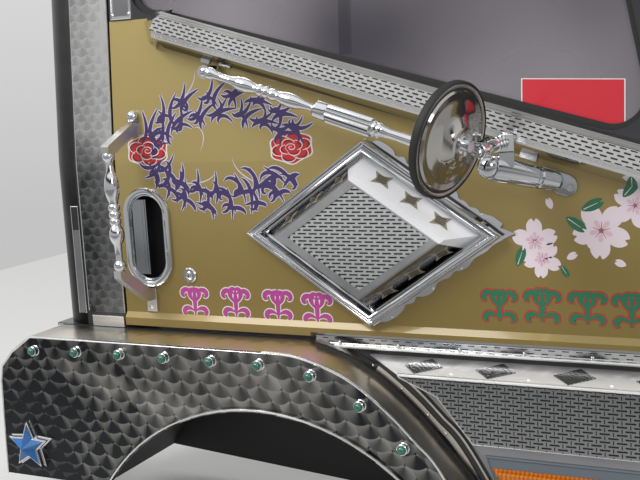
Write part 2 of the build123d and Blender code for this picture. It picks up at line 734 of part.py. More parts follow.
# Mirror head, which turns on the tube
normal = Vector(*mirror_normal).normalized()
lying = Plane(origin=mirror_at, x_dir=Vector(0, 0, 1).cross(normal), z_dir=normal) * Rot(0, -90, 0)
glass_radius = mirror_radius - rim_wide
step_out = mirror_radius * 0.85
step_in = mirror_radius * 0.75
dish = turned([(0, glass_radius, 0), (4, glass_radius, 0), (5, step_out, 0), (9, step_out, 0),
               (9, step_in, 0), (mirror_deep - 9, mirror_radius * 0.42, 0),
               (mirror_deep, mirror_radius * 0.3, 0), (mirror_deep + 5, mirror_radius * 0.26, 0),
               (mirror_deep + 5, 0.5, 0)])
save("mirror_back", lying * dish)
rim_face = turned([(-7, mirror_radius - 2, 0), (-4, mirror_radius, 0), (6, mirror_radius, 0),
                   (10, mirror_radius - 3, 0), (10, glass_radius, 0)])
rim_hole = turned([(-8, glass_radius - 3, 0), (-4, glass_radius - 3, 0), (-4, glass_radius, 0),
                   (11, glass_radius, 0)])
save("mirror_rim", lying * (rim_face - rim_hole))
save("mirror_glass", lying * turned([(-4, glass_radius, 0), (0, glass_radius, 0)]))

clamp_at = Vector(*tube_end) - tube_line * clamp_back
boss_at = Vector(*mirror_at) + normal * (mirror_deep + 5)
clamp = rod(tuple(clamp_at - tube_line * clamp_long / 2), tuple(clamp_at + tube_line * clamp_long / 2),
            tube_radius + clamp_wall)
clamp += rod(tuple(boss_at), tuple(boss_at + normal * 5), boss_radius)
clamp += rod(tuple(boss_at), tuple(boss_at + normal * clamp_back), tube_radius)
sideways = tube_line.cross(normal).normalized()
for side in (-1, 1):
    start = boss_at + normal * 11 + sideways * side * 6
    clamp += rod(tuple(start), tuple(clamp_at + sideways * side * tube_radius), prong_radius)
clamp -= rod(tuple(clamp_at - tube_line * tube_bore_deep), past_end, tube_radius + pin_clear)
save("mirror_clamp", clamp)

# Hinges on the door's front edge
post_side = Part()
door_side = Part()
knuckle_high = hinge_high / 3
for z in hinge_heights:
    pin = rod((hinge_x, hinge_y, z - hinge_high / 2), (hinge_x, hinge_y, z + hinge_high / 2), pin_radius)
    for level in (-1, 0, 1):
        low = z + (level - 0.5) * knuckle_high + 0.3
        high = z + (level + 0.5) * knuckle_high - 0.3
        ring = rod((hinge_x, hinge_y, low), (hinge_x, hinge_y, high), barrel_radius)
        side = -1 if level == 0 else 1
        leaf_end = hinge_x + side * leaf_long
        leaf = slab([(hinge_x, low), (leaf_end, low), (leaf_end, high), (hinge_x, high)],
                    -leaf_thick, 0 if side < 0 else skin)
        if side < 0:
            bore = rod((hinge_x, hinge_y, low - 1), (hinge_x, hinge_y, high + 1), pin_radius + pin_clear)
            door_side += (ring + leaf) - bore
        else:
            post_side += ring + leaf
    post_side += pin
save("hinge_post", post_side)
save("hinge_door", door_side)

# Striker on the rear post
striker_foot = door_rear - rear_gap
plate_in = striker_foot + plate_thick
striker = slab([(striker_foot, striker_z - plate_half), (plate_in, striker_z - plate_half),
                (plate_in, striker_z + plate_half), (striker_foot, striker_z + plate_half)],
               striker_y - plate_reach, striker_y + plate_reach)
reach_x = door_rear + striker_long - 8
for side in (-1, 1):
    z = striker_z + side * striker_wide / 2
    striker += rod((striker_foot, striker_y, z), (reach_x, striker_y, z), striker_radius)
cross_x = reach_x - striker_radius
cross_half = striker_wide / 2
striker += rod((cross_x, striker_y, striker_z - cross_half), (cross_x, striker_y, striker_z + cross_half),
               striker_radius)
save("door_striker", striker)

# Inner side of the door
card_in = door_thick + card_thick
card_low = door_bottom + card_inset
card_rear = door_rear + card_inset
card_front = door_front - card_inset
save("inner_trim", slab([(card_rear, card_low), (card_front, card_low), (card_front, card_top),
                         (card_rear, card_top)], door_thick, card_in))
save("armrest", slab(armrest_box, card_in, card_in + armrest_deep))
pull_in = card_in + pull_plate_thick
pull = slab(pull_plate, card_in, pull_in) + slab(pull_lever, pull_in, pull_in + pull_lever_thick)
save("inner_handle", pull)
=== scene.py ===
import bmesh
import bpy
import json
from math import atan2, ceil, copysign, cos, degrees, hypot, pi, radians, sin, tan
from mathutils import Matrix, Vector

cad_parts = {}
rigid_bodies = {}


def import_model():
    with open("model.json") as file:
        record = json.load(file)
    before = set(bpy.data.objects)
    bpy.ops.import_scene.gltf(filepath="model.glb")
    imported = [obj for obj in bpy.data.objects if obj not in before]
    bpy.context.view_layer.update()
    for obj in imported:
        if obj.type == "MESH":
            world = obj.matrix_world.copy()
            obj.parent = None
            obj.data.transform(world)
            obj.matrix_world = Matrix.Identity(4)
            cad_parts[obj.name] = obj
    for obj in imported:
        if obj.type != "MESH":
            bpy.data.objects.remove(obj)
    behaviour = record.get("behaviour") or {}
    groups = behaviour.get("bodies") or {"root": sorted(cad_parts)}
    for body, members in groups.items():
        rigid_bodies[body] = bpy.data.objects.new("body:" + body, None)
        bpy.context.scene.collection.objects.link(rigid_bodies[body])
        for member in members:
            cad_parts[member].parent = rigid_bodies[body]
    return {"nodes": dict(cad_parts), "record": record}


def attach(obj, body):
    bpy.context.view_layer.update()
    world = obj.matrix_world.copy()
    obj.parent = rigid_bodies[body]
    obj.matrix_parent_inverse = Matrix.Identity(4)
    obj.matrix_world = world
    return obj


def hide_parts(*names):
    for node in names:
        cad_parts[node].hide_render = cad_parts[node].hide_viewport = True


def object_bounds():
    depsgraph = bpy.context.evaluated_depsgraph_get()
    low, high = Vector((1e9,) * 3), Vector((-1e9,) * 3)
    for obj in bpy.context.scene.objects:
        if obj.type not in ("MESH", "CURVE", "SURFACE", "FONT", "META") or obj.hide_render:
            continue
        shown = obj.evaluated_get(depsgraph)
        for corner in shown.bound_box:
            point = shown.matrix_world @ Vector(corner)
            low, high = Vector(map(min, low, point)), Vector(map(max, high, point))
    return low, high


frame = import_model()
cad_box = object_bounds()
scene = bpy.context.scene
scene.view_settings.view_transform = "Standard"

# Sizes are written from the door's outer skin, in millimetres, and moved to the mount's frame.
MOUNT = Vector((112.5, 110.0, -221.0))
TO_FRAME = Matrix.Scale(0.001, 4) @ Matrix.Translation(-MOUNT)
ALONG, OUT, UP = Vector((1, 0, 0)), Vector((0, -1, 0)), Vector((0, 0, 1))
# From this height on, the cab's side leans inboard.
LEAN_START = 150.0
LEAN = radians(4.0)
LEAN_OUT, LEAN_UP = Vector((0, -cos(LEAN), sin(LEAN))), Vector((0, sin(LEAN), cos(LEAN)))

# Camera, as the photograph was taken
camera_turn, camera_dip, camera_roll = radians(26.1), radians(8.6), radians(-3.2)
forward = Vector((-sin(camera_turn) * cos(camera_dip), cos(camera_turn) * cos(camera_dip), -sin(camera_dip)))
level = Vector((cos(camera_turn), sin(camera_turn), 0))
upright = level.cross(forward)
right = cos(camera_roll) * level + sin(camera_roll) * upright
top = -sin(camera_roll) * level + cos(camera_roll) * upright
lens = bpy.data.cameras.new("camera")
lens.sensor_width = 36
lens.lens = 60.0
camera = bpy.data.objects.new("camera", lens)
camera_at = TO_FRAME @ Vector((870.0, -1775.9, 299.1))
camera.matrix_world = Matrix.Translation(camera_at) @ Matrix((right, top, -forward)).transposed().to_4x4()
scene.collection.objects.link(camera)
scene.camera = camera


# Node trees
class Value:
    """An output of a node. A number among them can be worked with as a plain number is."""

    def __init__(self, socket):
        self.socket, self.tree = socket, socket.id_data

    def step(self, operation, *others):
        """One step of arithmetic on this and up to two more values."""
        return value_of(self.tree, "ShaderNodeMath", dict(enumerate((self, *others))), operation=operation)

    def __add__(self, other):
        return self.step("ADD", other)

    def __sub__(self, other):
        return self.step("SUBTRACT", other)

    def __mul__(self, other):
        return self.step("MULTIPLY", other)

    def __truediv__(self, other):
        return self.step("DIVIDE", other)


def give(socket, value):
    """Link a Value to an input, or set a plain one on it."""
    if isinstance(value, Value):
        value.tree.links.new(value.socket, socket)
    else:
        socket.default_value = value


def node(tree, kind, inputs, **settings):
    made = tree.nodes.new(kind)
    for name, value in settings.items():
        setattr(made, name, value)
    for name, value in inputs.items():
        give(made.inputs[name], value)
    return made


def value_of(tree, kind, inputs, output=0, **settings):
    """Add a node and take one of its outputs."""
    return Value(node(tree, kind, inputs, **settings).outputs[output])


def parts_of(vector):
    return [Value(output) for output in node(vector.tree, "ShaderNodeSeparateXYZ", {0: vector}).outputs]


def share_of(value, start, end):
    """How far a value is on its way from start to end, between 0 and 1."""
    return value_of(value.tree, "ShaderNodeMapRange", {0: value, 1: start, 2: end})


def noise_of(place, scale, detail=3.0):
    given = {"Vector": place, "Scale": scale, "Detail": detail}
    return value_of(place.tree, "ShaderNodeTexNoise", given, "Fac")


def ramp(share, stops):
    """A colour ramp. A stop is a position and a grey level or a colour."""
    made = node(share.tree, "ShaderNodeValToRGB", {"Fac": share})
    while len(made.color_ramp.elements) < len(stops):
        made.color_ramp.elements.new(0.5)
    for element, (place, color) in zip(made.color_ramp.elements, stops):
        element.position = place
        element.color = (*color, 1) if isinstance(color, tuple) else (color, color, color, 1)
    return Value(made.outputs["Color"])


def mixed(share, first, second, blend="MIX"):
    """A colour between two others."""
    tree = (share if isinstance(share, Value) else first).tree
    first, second = (color if isinstance(color, Value) else (*color, 1) for color in (first, second))
    given = {0: share, 6: first, 7: second}
    return value_of(tree, "ShaderNodeMix", given, 2, data_type="RGBA", blend_type=blend)


def toned(color, tone):
    return tuple(min(1.0, value * tone) for value in color)


def material(name, color, metallic=0.0, rough=0.5, **sockets):
    """A material with even values. Returns it, its shader's inputs and the place in the object."""
    made = bpy.data.materials.new(name)
    made.use_nodes = True
    inputs = made.node_tree.nodes["Principled BSDF"].inputs
    sockets |= {"Base Color": (*color, 1), "Metallic": metallic, "Roughness": rough}
    for socket, value in sockets.items():
        inputs[socket.replace("_", " ")].default_value = value
    return made, inputs, value_of(made.node_tree, "ShaderNodeTexCoord", {}, "Object")


def raise_by(inputs, height, strength, distance):
    given = {"Height": height, "Strength": strength, "Distance": distance}
    give(inputs["Normal"], value_of(height.tree, "ShaderNodeBump", given))


# Studio: pale behind the truck and above, dark behind the photographer so that polished metal has contrast
world = bpy.data.worlds.new("studio")
scene.world = world
world.use_nodes = True
direction = value_of(world.node_tree, "ShaderNodeTexCoord", {}, "Generated")
_, towards, height = parts_of(direction)
height = height * 0.5 + 0.5
wavy = height + (noise_of(direction, 3.0, 2.0) * 0.10 - 0.05)
pale_side = ramp(height, [(0.0, 0.5), (0.45, 0.55), (0.6, 0.75), (0.75, 0.95), (1.0, 1.0)])
dark_side = ramp(wavy, [(0.0, 0.06), (0.30, 0.08), (0.38, 0.18), (0.425, 0.46), (0.56, 0.53), (0.60, 0.42),
                        (0.625, 0.10), (0.66, 0.03), (0.69, 0.10), (0.71, 0.55), (0.75, 1.0), (1.0, 1.1)])
background = world.node_tree.nodes["Background"].inputs
give(background["Color"], mixed(share_of(towards, 0.15, -0.35), pale_side, dark_side))
give(background["Strength"], 1.0)


def lamp(name, place, size, power):
    """A square soft light that points at the door."""
    light = bpy.data.lights.new(name, "AREA")
    light.size = size
    light.energy = power
    made = bpy.data.objects.new(name, light)
    place, aim = Vector(place), Vector((0, 0, 0.2))
    turn = (aim - place).to_track_quat("-Z", "Y").to_matrix().to_4x4()
    made.matrix_world = Matrix.Translation(place) @ turn
    scene.collection.objects.link(made)


lamp("softbox_high", (-1.8, -2.4, 3.0), 1.6, 88)
lamp("softbox_front", (2.6, -2.6, 1.8), 1.2, 22)

FLOOR_REACH = 3.0
FLOOR_TONE = (0.62, 0.62, 0.61)
floor_mesh = bpy.data.meshes.new("floor")
corners = [(x * FLOOR_REACH, y * FLOOR_REACH, cad_box[0][2])
           for x, y in ((-1, -1), (1, -1), (1, 1), (-1, 1))]
floor_mesh.from_pydata(corners, [], [(0, 1, 2, 3)])
floor = bpy.data.objects.new("floor", floor_mesh)
scene.collection.objects.link(floor)
pale_floor, inputs, place = material("pale floor", FLOOR_TONE, rough=0.7)
give(inputs["Base Color"], mixed(share_of(parts_of(place)[1], -0.55, -1.5), FLOOR_TONE, (0.15, 0.15, 0.15)))
floor.data.materials.append(pale_floor)


# Finishes
def metal(name, color, rough, bump=0.02, grain=400, spread=0.0):
    """Plain metal with fine grain, and some cloudiness in its colour."""
    made, inputs, place = material(name, color, metallic=1.0, rough=rough)
    cloud = noise_of(place, 9.0, 4.0)
    give(inputs["Base Color"], mixed(cloud, toned(color, 1 - spread), color))
    give(inputs["Roughness"], cloud * (rough * 0.8) + rough * 0.6)
    raise_by(inputs, noise_of(place, grain), bump, 0.001)
    return made


def paint(name, color, rough=0.35, coat=0.5, spread=0.12, grain=700):
    """Sprayed paint: a clear coat, slight orange peel and slow changes of tone."""
    made, inputs, place = material(name, color, rough=rough, Coat_Weight=coat, Coat_Roughness=0.06)
    cloud = noise_of(place, 4.0, 5.0)
    give(inputs["Base Color"], mixed(cloud, toned(color, 1 - spread), toned(color, 1 + spread)))
    raise_by(inputs, noise_of(place, grain, 2.0), 0.05, 0.0006)
    return made


def paint_shaded_low(name, stops, start, end):
    """Metallic paint painted darker low down as shade, with slow changes of tone and a clear coat with orange
    peel.
    """
    made, inputs, place = material(name, stops[-1][1], 0.25, 0.40, Coat_Weight=0.45, Coat_Roughness=0.06)
    share = share_of(parts_of(place)[2], start, end) + (noise_of(place, 3.0, 4.0) * 0.24 - 0.12)
    give(inputs["Base Color"], ramp(share, stops))
    flakes = value_of(place.tree, "ShaderNodeTexVoronoi", {"Vector": place, "Scale": 1800.0}, "Distance")
    raise_by(inputs, noise_of(place, 700.0, 2.0) + flakes, 0.05, 0.0006)
    return made


def engine_turned(name, dark, pale, pitch, painted_light_tones, contrast=1.0):
    """Steel with rows of overlapping discs, brushed in circles, each lying partly over the one before.
    Each disc has a painted fan-shaped highlight in its colour. A tone paints light and shade across the piece:
    its weights along X and Z, the two ends of its ramp, and the ramp's stops."""
    radius, rise = 0.64, 0.56
    made, inputs, place = material(name, pale, metallic=1.0, rough=0.3)
    x, y, z = parts_of(place)
    drift = noise_of(place, 14.0, 1.0)
    across = x / pitch - y / pitch + drift * 0.5
    up = z / pitch - drift * 0.4
    top_row = ((up + radius) / rise).step("FLOOR")
    found = []
    # A point can lie in a disc of the top row there, or else of the row below it.
    for step in (0, 1):
        row = top_row - step
        over = up - row * rise
        chord = (over * over).step("MULTIPLY_ADD", -1.0, radius ** 2).step("MAXIMUM", 0.0).step("SQRT")
        shifted = across + (row * 0.5).step("FRACT")
        column = (shifted + chord).step("FLOOR")
        beside = shifted - column
        found.append((beside, over, column, row, beside.step("ABSOLUTE").step("LESS_THAN", chord)))
    inside = found[0][4]
    beside, over, column, row = (
        value_of(place.tree, "ShaderNodeMix", {0: inside, 2: lower, 3: upper}, data_type="FLOAT")
        for upper, lower in list(zip(*found))[:4])
    number = value_of(place.tree, "ShaderNodeCombineXYZ", {0: column, 1: row})
    given = {"Vector": number}
    chance = value_of(place.tree, "ShaderNodeTexWhiteNoise", given, "Value", noise_dimensions="2D")
    # Painted highlight: each disc is lighter and darker in a fan round its middle, as circular brushing
    # catches light; bright adds each disc's random tone to it.
    painted_fan_highlight = (over.step("ARCTAN2", beside) * 2.0 + (chance * 1.6 - 0.9)).step("COSINE")
    bright = painted_fan_highlight * (0.24 * contrast) + (chance * (0.24 * contrast) + (0.42 - 0.12 * contrast))
    bright = bright + (noise_of(place, 4.0) * 0.7 - 0.40)
    # Painted light and shade across the piece, from its tones.
    for (across_by, up_by), start, end, stops in painted_light_tones:
        bright = bright + (ramp(share_of(x * across_by + z * up_by, start, end), stops) - 0.5)
    between = tuple((a + b) / 2.6 for a, b in zip(dark, pale))
    give(inputs["Base Color"], ramp(bright, [(0.0, dark), (0.45, between), (0.95, pale)]))
    reach = (beside * beside + over * over).step("SQRT")
    raise_by(inputs, (reach * 60.0).step("SINE") * 0.03 + reach, 0.10, pitch * 0.25)
    return made


def zoned_metal(name, axis, start, end, stops, rough, metallic, clouds, scale, along=None):
    """Polished metal whose tone changes between two places along an axis, and if need be along X too.
    The changes are painted reflections and shade.
    """
    made, inputs, place = material(name, (0.5, 0.5, 0.5), metallic, rough)
    parts = parts_of(place)
    share = share_of(parts["XYZ".index(axis)], start, end) + (noise_of(place, scale) * clouds - clouds / 2)
    tone = ramp(share, stops)
    if along:
        tone = mixed(1.0, tone, ramp(share_of(parts[0], along[0], along[1]), along[2]), "MULTIPLY")
    give(inputs["Base Color"], tone)
    raise_by(inputs, noise_of(place, 500.0), 0.02, 0.001)
    return made


def crown_finish():
    """Polished steel of the diamond's flanks, with painted light: the upper right one is painted bright as a
    highlight, the lower right one dark as shade.
    """
    made, inputs, place = material("diamond crown steel", (0.6, 0.6, 0.6), metallic=1.0, rough=0.14)
    x, _, z = parts_of(place)
    # Shares of the diamond's half width and half height, from its middle
    run, rise = x * 3.976 + 0.040, z * 5.831 - 1.371
    # Painted light: the upper right flank is whitened as a highlight and the lower right one darkened as
    # shade.
    upper_right_highlight = ramp(run + rise, [(0.56, 0.0), (0.58, 1.0)])
    lower_right_shade = ramp(run - rise, [(0.62, 0.0), (0.66, 1.0)])
    broken = mixed(noise_of(place, 16.0), (0.45, 0.45, 0.46), (1.0, 1.0, 1.0))
    shaded = mixed(1.0, mixed(lower_right_shade, (0.84, 0.84, 0.84), (0.41, 0.41, 0.42)), broken, "MULTIPLY")
    give(inputs["Base Color"], mixed(upper_right_highlight, shaded, (0.93, 0.93, 0.95)))
    give(inputs["Metallic"], upper_right_highlight * -0.85 + 1.0)
    raise_by(inputs, noise_of(place, 300.0), 0.02, 0.001)
    return made


def lens_finish(name, color, ribs, coat=1.0):
    """Clear coloured plastic with fine ribs."""
    made, inputs, place = material(name, color, rough=0.12, Coat_Weight=coat, Coat_Roughness=0.03, IOR=1.49)
    given = {"Vector": place, "Scale": ribs, "Distortion": 0.4}
    waves = value_of(place.tree, "ShaderNodeTexWave", given, "Fac", bands_direction="X")
    give(inputs["Base Color"], mixed(waves, toned(color, 0.55), color))
    raise_by(inputs, waves, 0.25, 0.001)
    return made


def smoked_glass():
    """Tinted glass: broad soft changes of tone as of a street's reflection, and a little dust in places."""
    made, inputs, place = material("smoked glass", (0.26, 0.25, 0.27), rough=0.02, IOR=1.45,
                                   Transmission_Weight=0.60)
    painted_light_tones = [(0.22, (0.04, 0.035, 0.055)), (0.78, (0.49, 0.455, 0.485))]
    give(inputs["Base Color"], ramp(noise_of(place, 2.4, 1.5), painted_light_tones))
    give(inputs["Roughness"], noise_of(place, 9.0, 4.0) * 0.10 - 0.02)
    return made


chrome = metal("polished steel", (0.72, 0.73, 0.75), 0.06, 0.008, 60, 0.08)
mesh_steel = metal("perforated steel", (0.62, 0.63, 0.65), 0.16, 0.03, 500, 0.3)
screen_steel = metal("diamond screen steel", (0.94, 0.96, 0.96), 0.18, 0.03, 500, 0.12)
bead_steel = metal("bright bead", (0.86, 0.86, 0.85), 0.22, 0.02, 300, 0.12)
riser_steel = metal("riser steel", (0.38, 0.385, 0.39), 0.24, 0.03, 500, 0.3)
dish_steel = metal("mirror back steel", (0.45, 0.435, 0.415), 0.10, 0.03, 90, 0.25)
bracket_steel = metal("bracket steel", (0.52, 0.53, 0.55), 0.08, 0.01, 80, 0.2)
paddle_steel = metal("pull steel", (0.42, 0.44, 0.46), 0.16, 0.02, 200, 0.2)
plain = metal("plain steel", (0.36, 0.36, 0.38), 0.32, 0.05, 500, 0.3)
strap_steel = metal("strap steel", (0.70, 0.70, 0.69), 0.30, 0.02, 300, 0.25)
band_steel = metal("folded band", (0.52, 0.51, 0.49), 0.35, 0.02, 300, 0.2)
edge_steel = metal("shaded edge", (0.20, 0.20, 0.21), 0.25, 0.02, 300, 0.3)
white_steel = metal("white steel", (0.95, 0.95, 0.94), 0.28, 0.02, 300, 0.06)
mirror = metal("mirror face", (0.9, 0.9, 0.9), 0.02, 0.002, 20)
# The panel's tones paint light and shade: darker towards the rear, with a lighter band part way up.
panel_steel = engine_turned("engine turned panel", (0.030, 0.032, 0.036), (0.54, 0.53, 0.50), 0.043, [
    ((1, 0), -0.83, 0.30, [(0.0, 0.20), (0.15, 0.26), (0.32, 0.50), (0.60, 0.56), (0.76, 0.42), (1.0, 0.62)]),
    ((0.267, 1), -0.32, -0.08, [(0.0, 0.33), (0.25, 0.42), (0.36, 0.46), (0.44, 0.70), (0.54, 0.70),
                                (0.62, 0.50), (1.0, 0.55)])])
# The pillar's tones paint light: lighter high up and towards its front edge.
pillar_steel = engine_turned("engine turned pillar", (0.05, 0.053, 0.056), (0.78, 0.78, 0.77), 0.030, [
    ((0, 1), 0.05, 0.75, [(0.0, 0.30), (0.25, 0.26), (0.42, 0.32), (0.56, 0.90), (1.0, 1.0)]),
    ((1, 0), -0.67, -0.57, [(0.0, 0.40), (0.4, 0.47), (0.75, 0.58), (1.0, 0.66)])], contrast=0.42)
# Painted reflections and shade on the ledge: pale at its outer edge, tinted as the gold paint reflects in it,
# darker towards the door and towards the rear, with random mottling.
ledge_painted_reflections = zoned_metal("mottled ledge, painted reflections", "Y", -0.225, -0.110, [
    (0.0, (0.95, 0.92, 0.87)), (0.35, (1.0, 0.91, 0.76)), (0.54, (0.92, 0.82, 0.67)),
    (0.66, (0.52, 0.49, 0.46)), (1.0, (0.50, 0.48, 0.45))], 0.28, 1.0, 0.6, 26.0,
    (-0.83, -0.55, [(0.0, 0.40), (0.45, 0.52), (0.75, 1.0)]))
# Painted reflection and shade on the tread: dark inboard, towards the door, and bright at its outer edge.
tread_painted_reflection = zoned_metal("tread steel", "Y", -0.110, -0.225, [
    (0.0, 0.25), (0.25, 0.45), (0.45, 0.80), (0.62, 0.90), (1.0, 0.95)], 0.34, 0.35, 0.6, 30.0)
# Painted dark reflections on the corner's steel: near black, a little lighter higher up.
corner_painted_reflection = zoned_metal("dark corner", "Z", 0.05, 0.75, [
    (0.0, 0.02), (0.3, 0.04), (0.6, 0.07), (1.0, 0.10)], 0.35, 1.0, 0.55, 24.0)
crown_steel = crown_finish()
# The gold is painted darker low down, as shade.
gold = paint_shaded_low("gold paint", [
    (0.0, (0.230, 0.160, 0.040)), (0.30, (0.280, 0.205, 0.060)), (0.58, (0.385, 0.292, 0.105)),
    (1.0, (0.425, 0.325, 0.122))], 0.04, 0.656)
dark = paint("dark paint", (0.022, 0.022, 0.025), 0.35, 0.4, 0.3)
grey = paint("grey paint", (0.11, 0.135, 0.16), 0.42, 0.2, 0.15)
# Painted reflection: tan where the gold paint reflects in the diamond's cut-outs.
gold_reflection_tan = paint("painted gold reflection in cut-outs", (0.30, 0.26, 0.18), 0.4, 0.1, 0.25)
# Painted shade: flat black in slots, pockets and gaps where shade falls.
shadow = paint("painted shade in hollows", (0.010, 0.010, 0.012), 0.6, 0.0, 0.3)
rubber = paint("black rubber", (0.012, 0.012, 0.012), 0.65, 0.0, 0.3, 300)
plastic = paint("dark plastic", (0.014, 0.014, 0.016), 0.6, 0.0, 0.3, 900)
blue = paint("blue enamel", (0.004, 0.115, 0.36), 0.25, 0.30, 0.3)
sign_red = paint("red plate", (0.58, 0.020, 0.035), 0.35, 0.3, 0.06)
red = paint("red flowers", (0.50, 0.010, 0.016), spread=0.2, grain=200)
deep_red = paint("dark red flowers", (0.16, 0.004, 0.01), spread=0.3)
white = paint("white outlines", (0.72, 0.71, 0.68), spread=0.06)
purple = paint("purple flourishes", (0.046, 0.024, 0.112), spread=0.35, grain=200)
lilac = paint("lilac flourishes", (0.62, 0.60, 0.70), spread=0.15)
pink = paint("pink blossoms", (0.74, 0.50, 0.56), spread=0.2)
pink_pale = paint("pale pink blossoms", (0.80, 0.69, 0.74), spread=0.08, grain=200)
leaf_green = paint("green leaves", (0.02, 0.15, 0.07), spread=0.4, grain=200)
magenta = paint("magenta flourishes", (0.44, 0.05, 0.28), spread=0.2)
green = lens_finish("green lens", (0.0, 0.17, 0.10), 120.0)
amber = lens_finish("amber lens", (0.62, 0.165, 0.0), 42.0, coat=0.25)

finishes = {
    "dark_paint": dark, "gold_paint": gold, "grey_paint": grey, "polished_steel": chrome,
    "turned_steel": panel_steel, "mesh_steel": mesh_steel, "plain_steel": plain, "black_rubber": rubber,
    "dark_plastic": plastic, "smoked_glass": smoked_glass(), "mirror_face": mirror, "green_lens": green,
    "amber_lens": amber, "blue_enamel": blue,
}
own_finish = {"pillar_trim": pillar_steel, "corner_panel": corner_painted_reflection, "arch_ledge": ledge_painted_reflections,
              "pillar_foot": bead_steel, "diamond_box": crown_steel}
for part in frame["record"]["subparts"]:
    owner = frame["nodes"][part["node"]]
    owner.data.materials.clear()
    owner.data.materials.append(own_finish.get(part["node"], finishes[part["material_slot"]]))


# Making pieces. A shape is a bmesh in the datum's millimetres until it is finished.
def moved(shape, x, y, z):
    bmesh.ops.translate(shape, vec=(x, y, z), verts=shape.verts)
    return shape


def placed(shape, origin, across=ALONG, out=OUT):
    """Move a shape from its own plane to a place, with its x along across and its z along out."""
    across, out = Vector(across).normalized(), Vector(out).normalized()
    turn = Matrix((across, out.cross(across), out)).transposed().to_4x4()
    bmesh.ops.transform(shape, matrix=Matrix.Translation(origin) @ turn, verts=shape.verts)
    return shape


def all_placed(shapes, *where):
    return [placed(shape, *where) for shape in shapes]


def dressed(shape, finish, smooth=False):
    """Give all faces of a shape one of its piece's materials."""
    for face in shape.faces:
        face.material_index = finish
        face.smooth = smooth
    return shape


def joined_loops(shape, loops):
    """Join each closed loop of vertices to the next with faces."""
    for first, second in zip(loops, loops[1:]):
        for i in range(len(first)):
            j = (i + 1) % len(first)
            shape.faces.new((first[i], first[j], second[j], second[i]))


def polar(reach, angle):
    return Vector((reach * cos(radians(angle)), reach * sin(radians(angle)), 0))


def oblong(x0, y0, x1, y1):
    return [(x0, y0), (x1, y0), (x1, y1), (x0, y1)]


def stadium(wide, high, count=40):
    """The outline of an upright oblong with round ends."""
    r = wide / 2
    turns = [2 * pi * (i + 0.5) / count for i in range(count)]
    return [(r * cos(a), r * sin(a) + copysign(high / 2 - r, sin(a))) for a in turns]


def smooth_line(points, steps, closed=False):
    """Points of a smooth line through points, with so many steps from each to the next."""
    ends = points[-1:] + points + points[:2] if closed else points[:1] + points + points[-1:]
    made = []
    for p0, p1, p2, p3 in zip(*(map(Vector, ends[k:]) for k in range(4))):
        for step in range(steps):
            t = step / steps
            made.append(0.5 * ((2 * p1) + (p2 - p0) * t + (2 * p0 - 5 * p1 + 4 * p2 - p3) * t * t
                               + (3 * p1 - p0 - 3 * p2 + p3) * t ** 3))
    return made if closed else made + [Vector(points[-1])]


def area_of(points):
    """Twice the area inside an outline, below zero if it runs clockwise."""
    return sum(a[0] * b[1] - b[0] * a[1] for a, b in zip(points, points[1:] + points[:1]))


def flat(points, finish=0):
    """A single flat face."""
    shape = bmesh.new()
    shape.faces.new([shape.verts.new((x, y, 0)) for x, y in points])
    if len(points) > 4:
        bmesh.ops.triangulate(shape, faces=shape.faces[:])
    return dressed(shape, finish)


def plate(points, thick, round_by=0.0, finish=0):
    """A plate with its outline in its own plane and its thickness outwards, with rounded edges."""
    shape = bmesh.new()
    back, front = ([shape.verts.new((x, y, level)) for x, y in points] for level in (0, thick))
    if area_of(points) < 0:
        back, front = back[::-1], front[::-1]
    shape.faces.new(back[::-1])
    shape.faces.new(front)
    joined_loops(shape, [back, front])
    if round_by:
        edges = [edge for edge in shape.edges if all(v in front for v in edge.verts)]
        bmesh.ops.bevel(shape, geom=edges, offset=round_by, segments=3, profile=0.6, affect="EDGES")
    return dressed(shape, finish)


def lathe(rows, start, end, sides=40, finish=0, flutes=None):
    """A turned piece. A row is a distance along its line, its radius there, and how far the run bows out.
    Flutes are where they start and end, their number and their height."""
    shape = bmesh.new()
    rows = [(*row, 0)[:3] for row in rows]
    start, end = Vector(start), Vector(end)
    line = (end - start).normalized()
    side = line.orthogonal().normalized()
    other = line.cross(side)
    runs = [rows[0][:2]]
    for (a, ra, _), (b, rb, bow) in zip(rows, rows[1:]):
        steps = 8 if bow else 1
        for step in range(1, steps + 1):
            share = step / steps
            runs.append((a + (b - a) * share, ra + (rb - ra) * share + bow * 4 * share * (1 - share)))
    rings = []
    for distance, radius in runs:
        ring = []
        for angle in (2 * pi * index / sides for index in range(sides)):
            reach = max(radius, 0.01)
            if flutes and flutes[0] < distance < flutes[1]:
                reach += flutes[3] * cos(flutes[2] * angle)
            aside = (side * cos(angle) + other * sin(angle)) * reach
            ring.append(shape.verts.new(start + line * distance + aside))
        rings.append(ring)
    joined_loops(shape, rings)
    shape.faces.new(rings[0][::-1])
    shape.faces.new(rings[-1])
    return dressed(shape, finish, True)


def standing(rows, place, out=OUT, sides=24, finish=0):
    """A turned piece that stands on a place."""
    return lathe(rows, place, Vector(place) + Vector(out), sides, finish)


def dome(place, radius, high, out=OUT, finish=0):
    """A round-headed fastener."""
    rows = [(high * sin(radians(a)), radius * cos(radians(a))) for a in (0, 15, 30, 45, 60, 75, 88)]
    return standing([(-1.0, radius)] + rows, place, Vector(out).normalized(), 24, finish)


def tube(points, radius, finish=0, closed=False):
    """A round bar along a line of points."""
    curve = bpy.data.curves.new("line", "CURVE")
    curve.dimensions = "3D"
    spline = curve.splines.new("POLY")
    spline.points.add(len(points) - 1)
    for point, place in zip(spline.points, points):
        point.co = (*place, 1)
    spline.use_cyclic_u = closed
    curve.bevel_depth = radius
    curve.bevel_resolution = 2
    curve.use_fill_caps = not closed
    return dressed(evaluated(bpy.data.objects.new("line", curve)), finish, True)


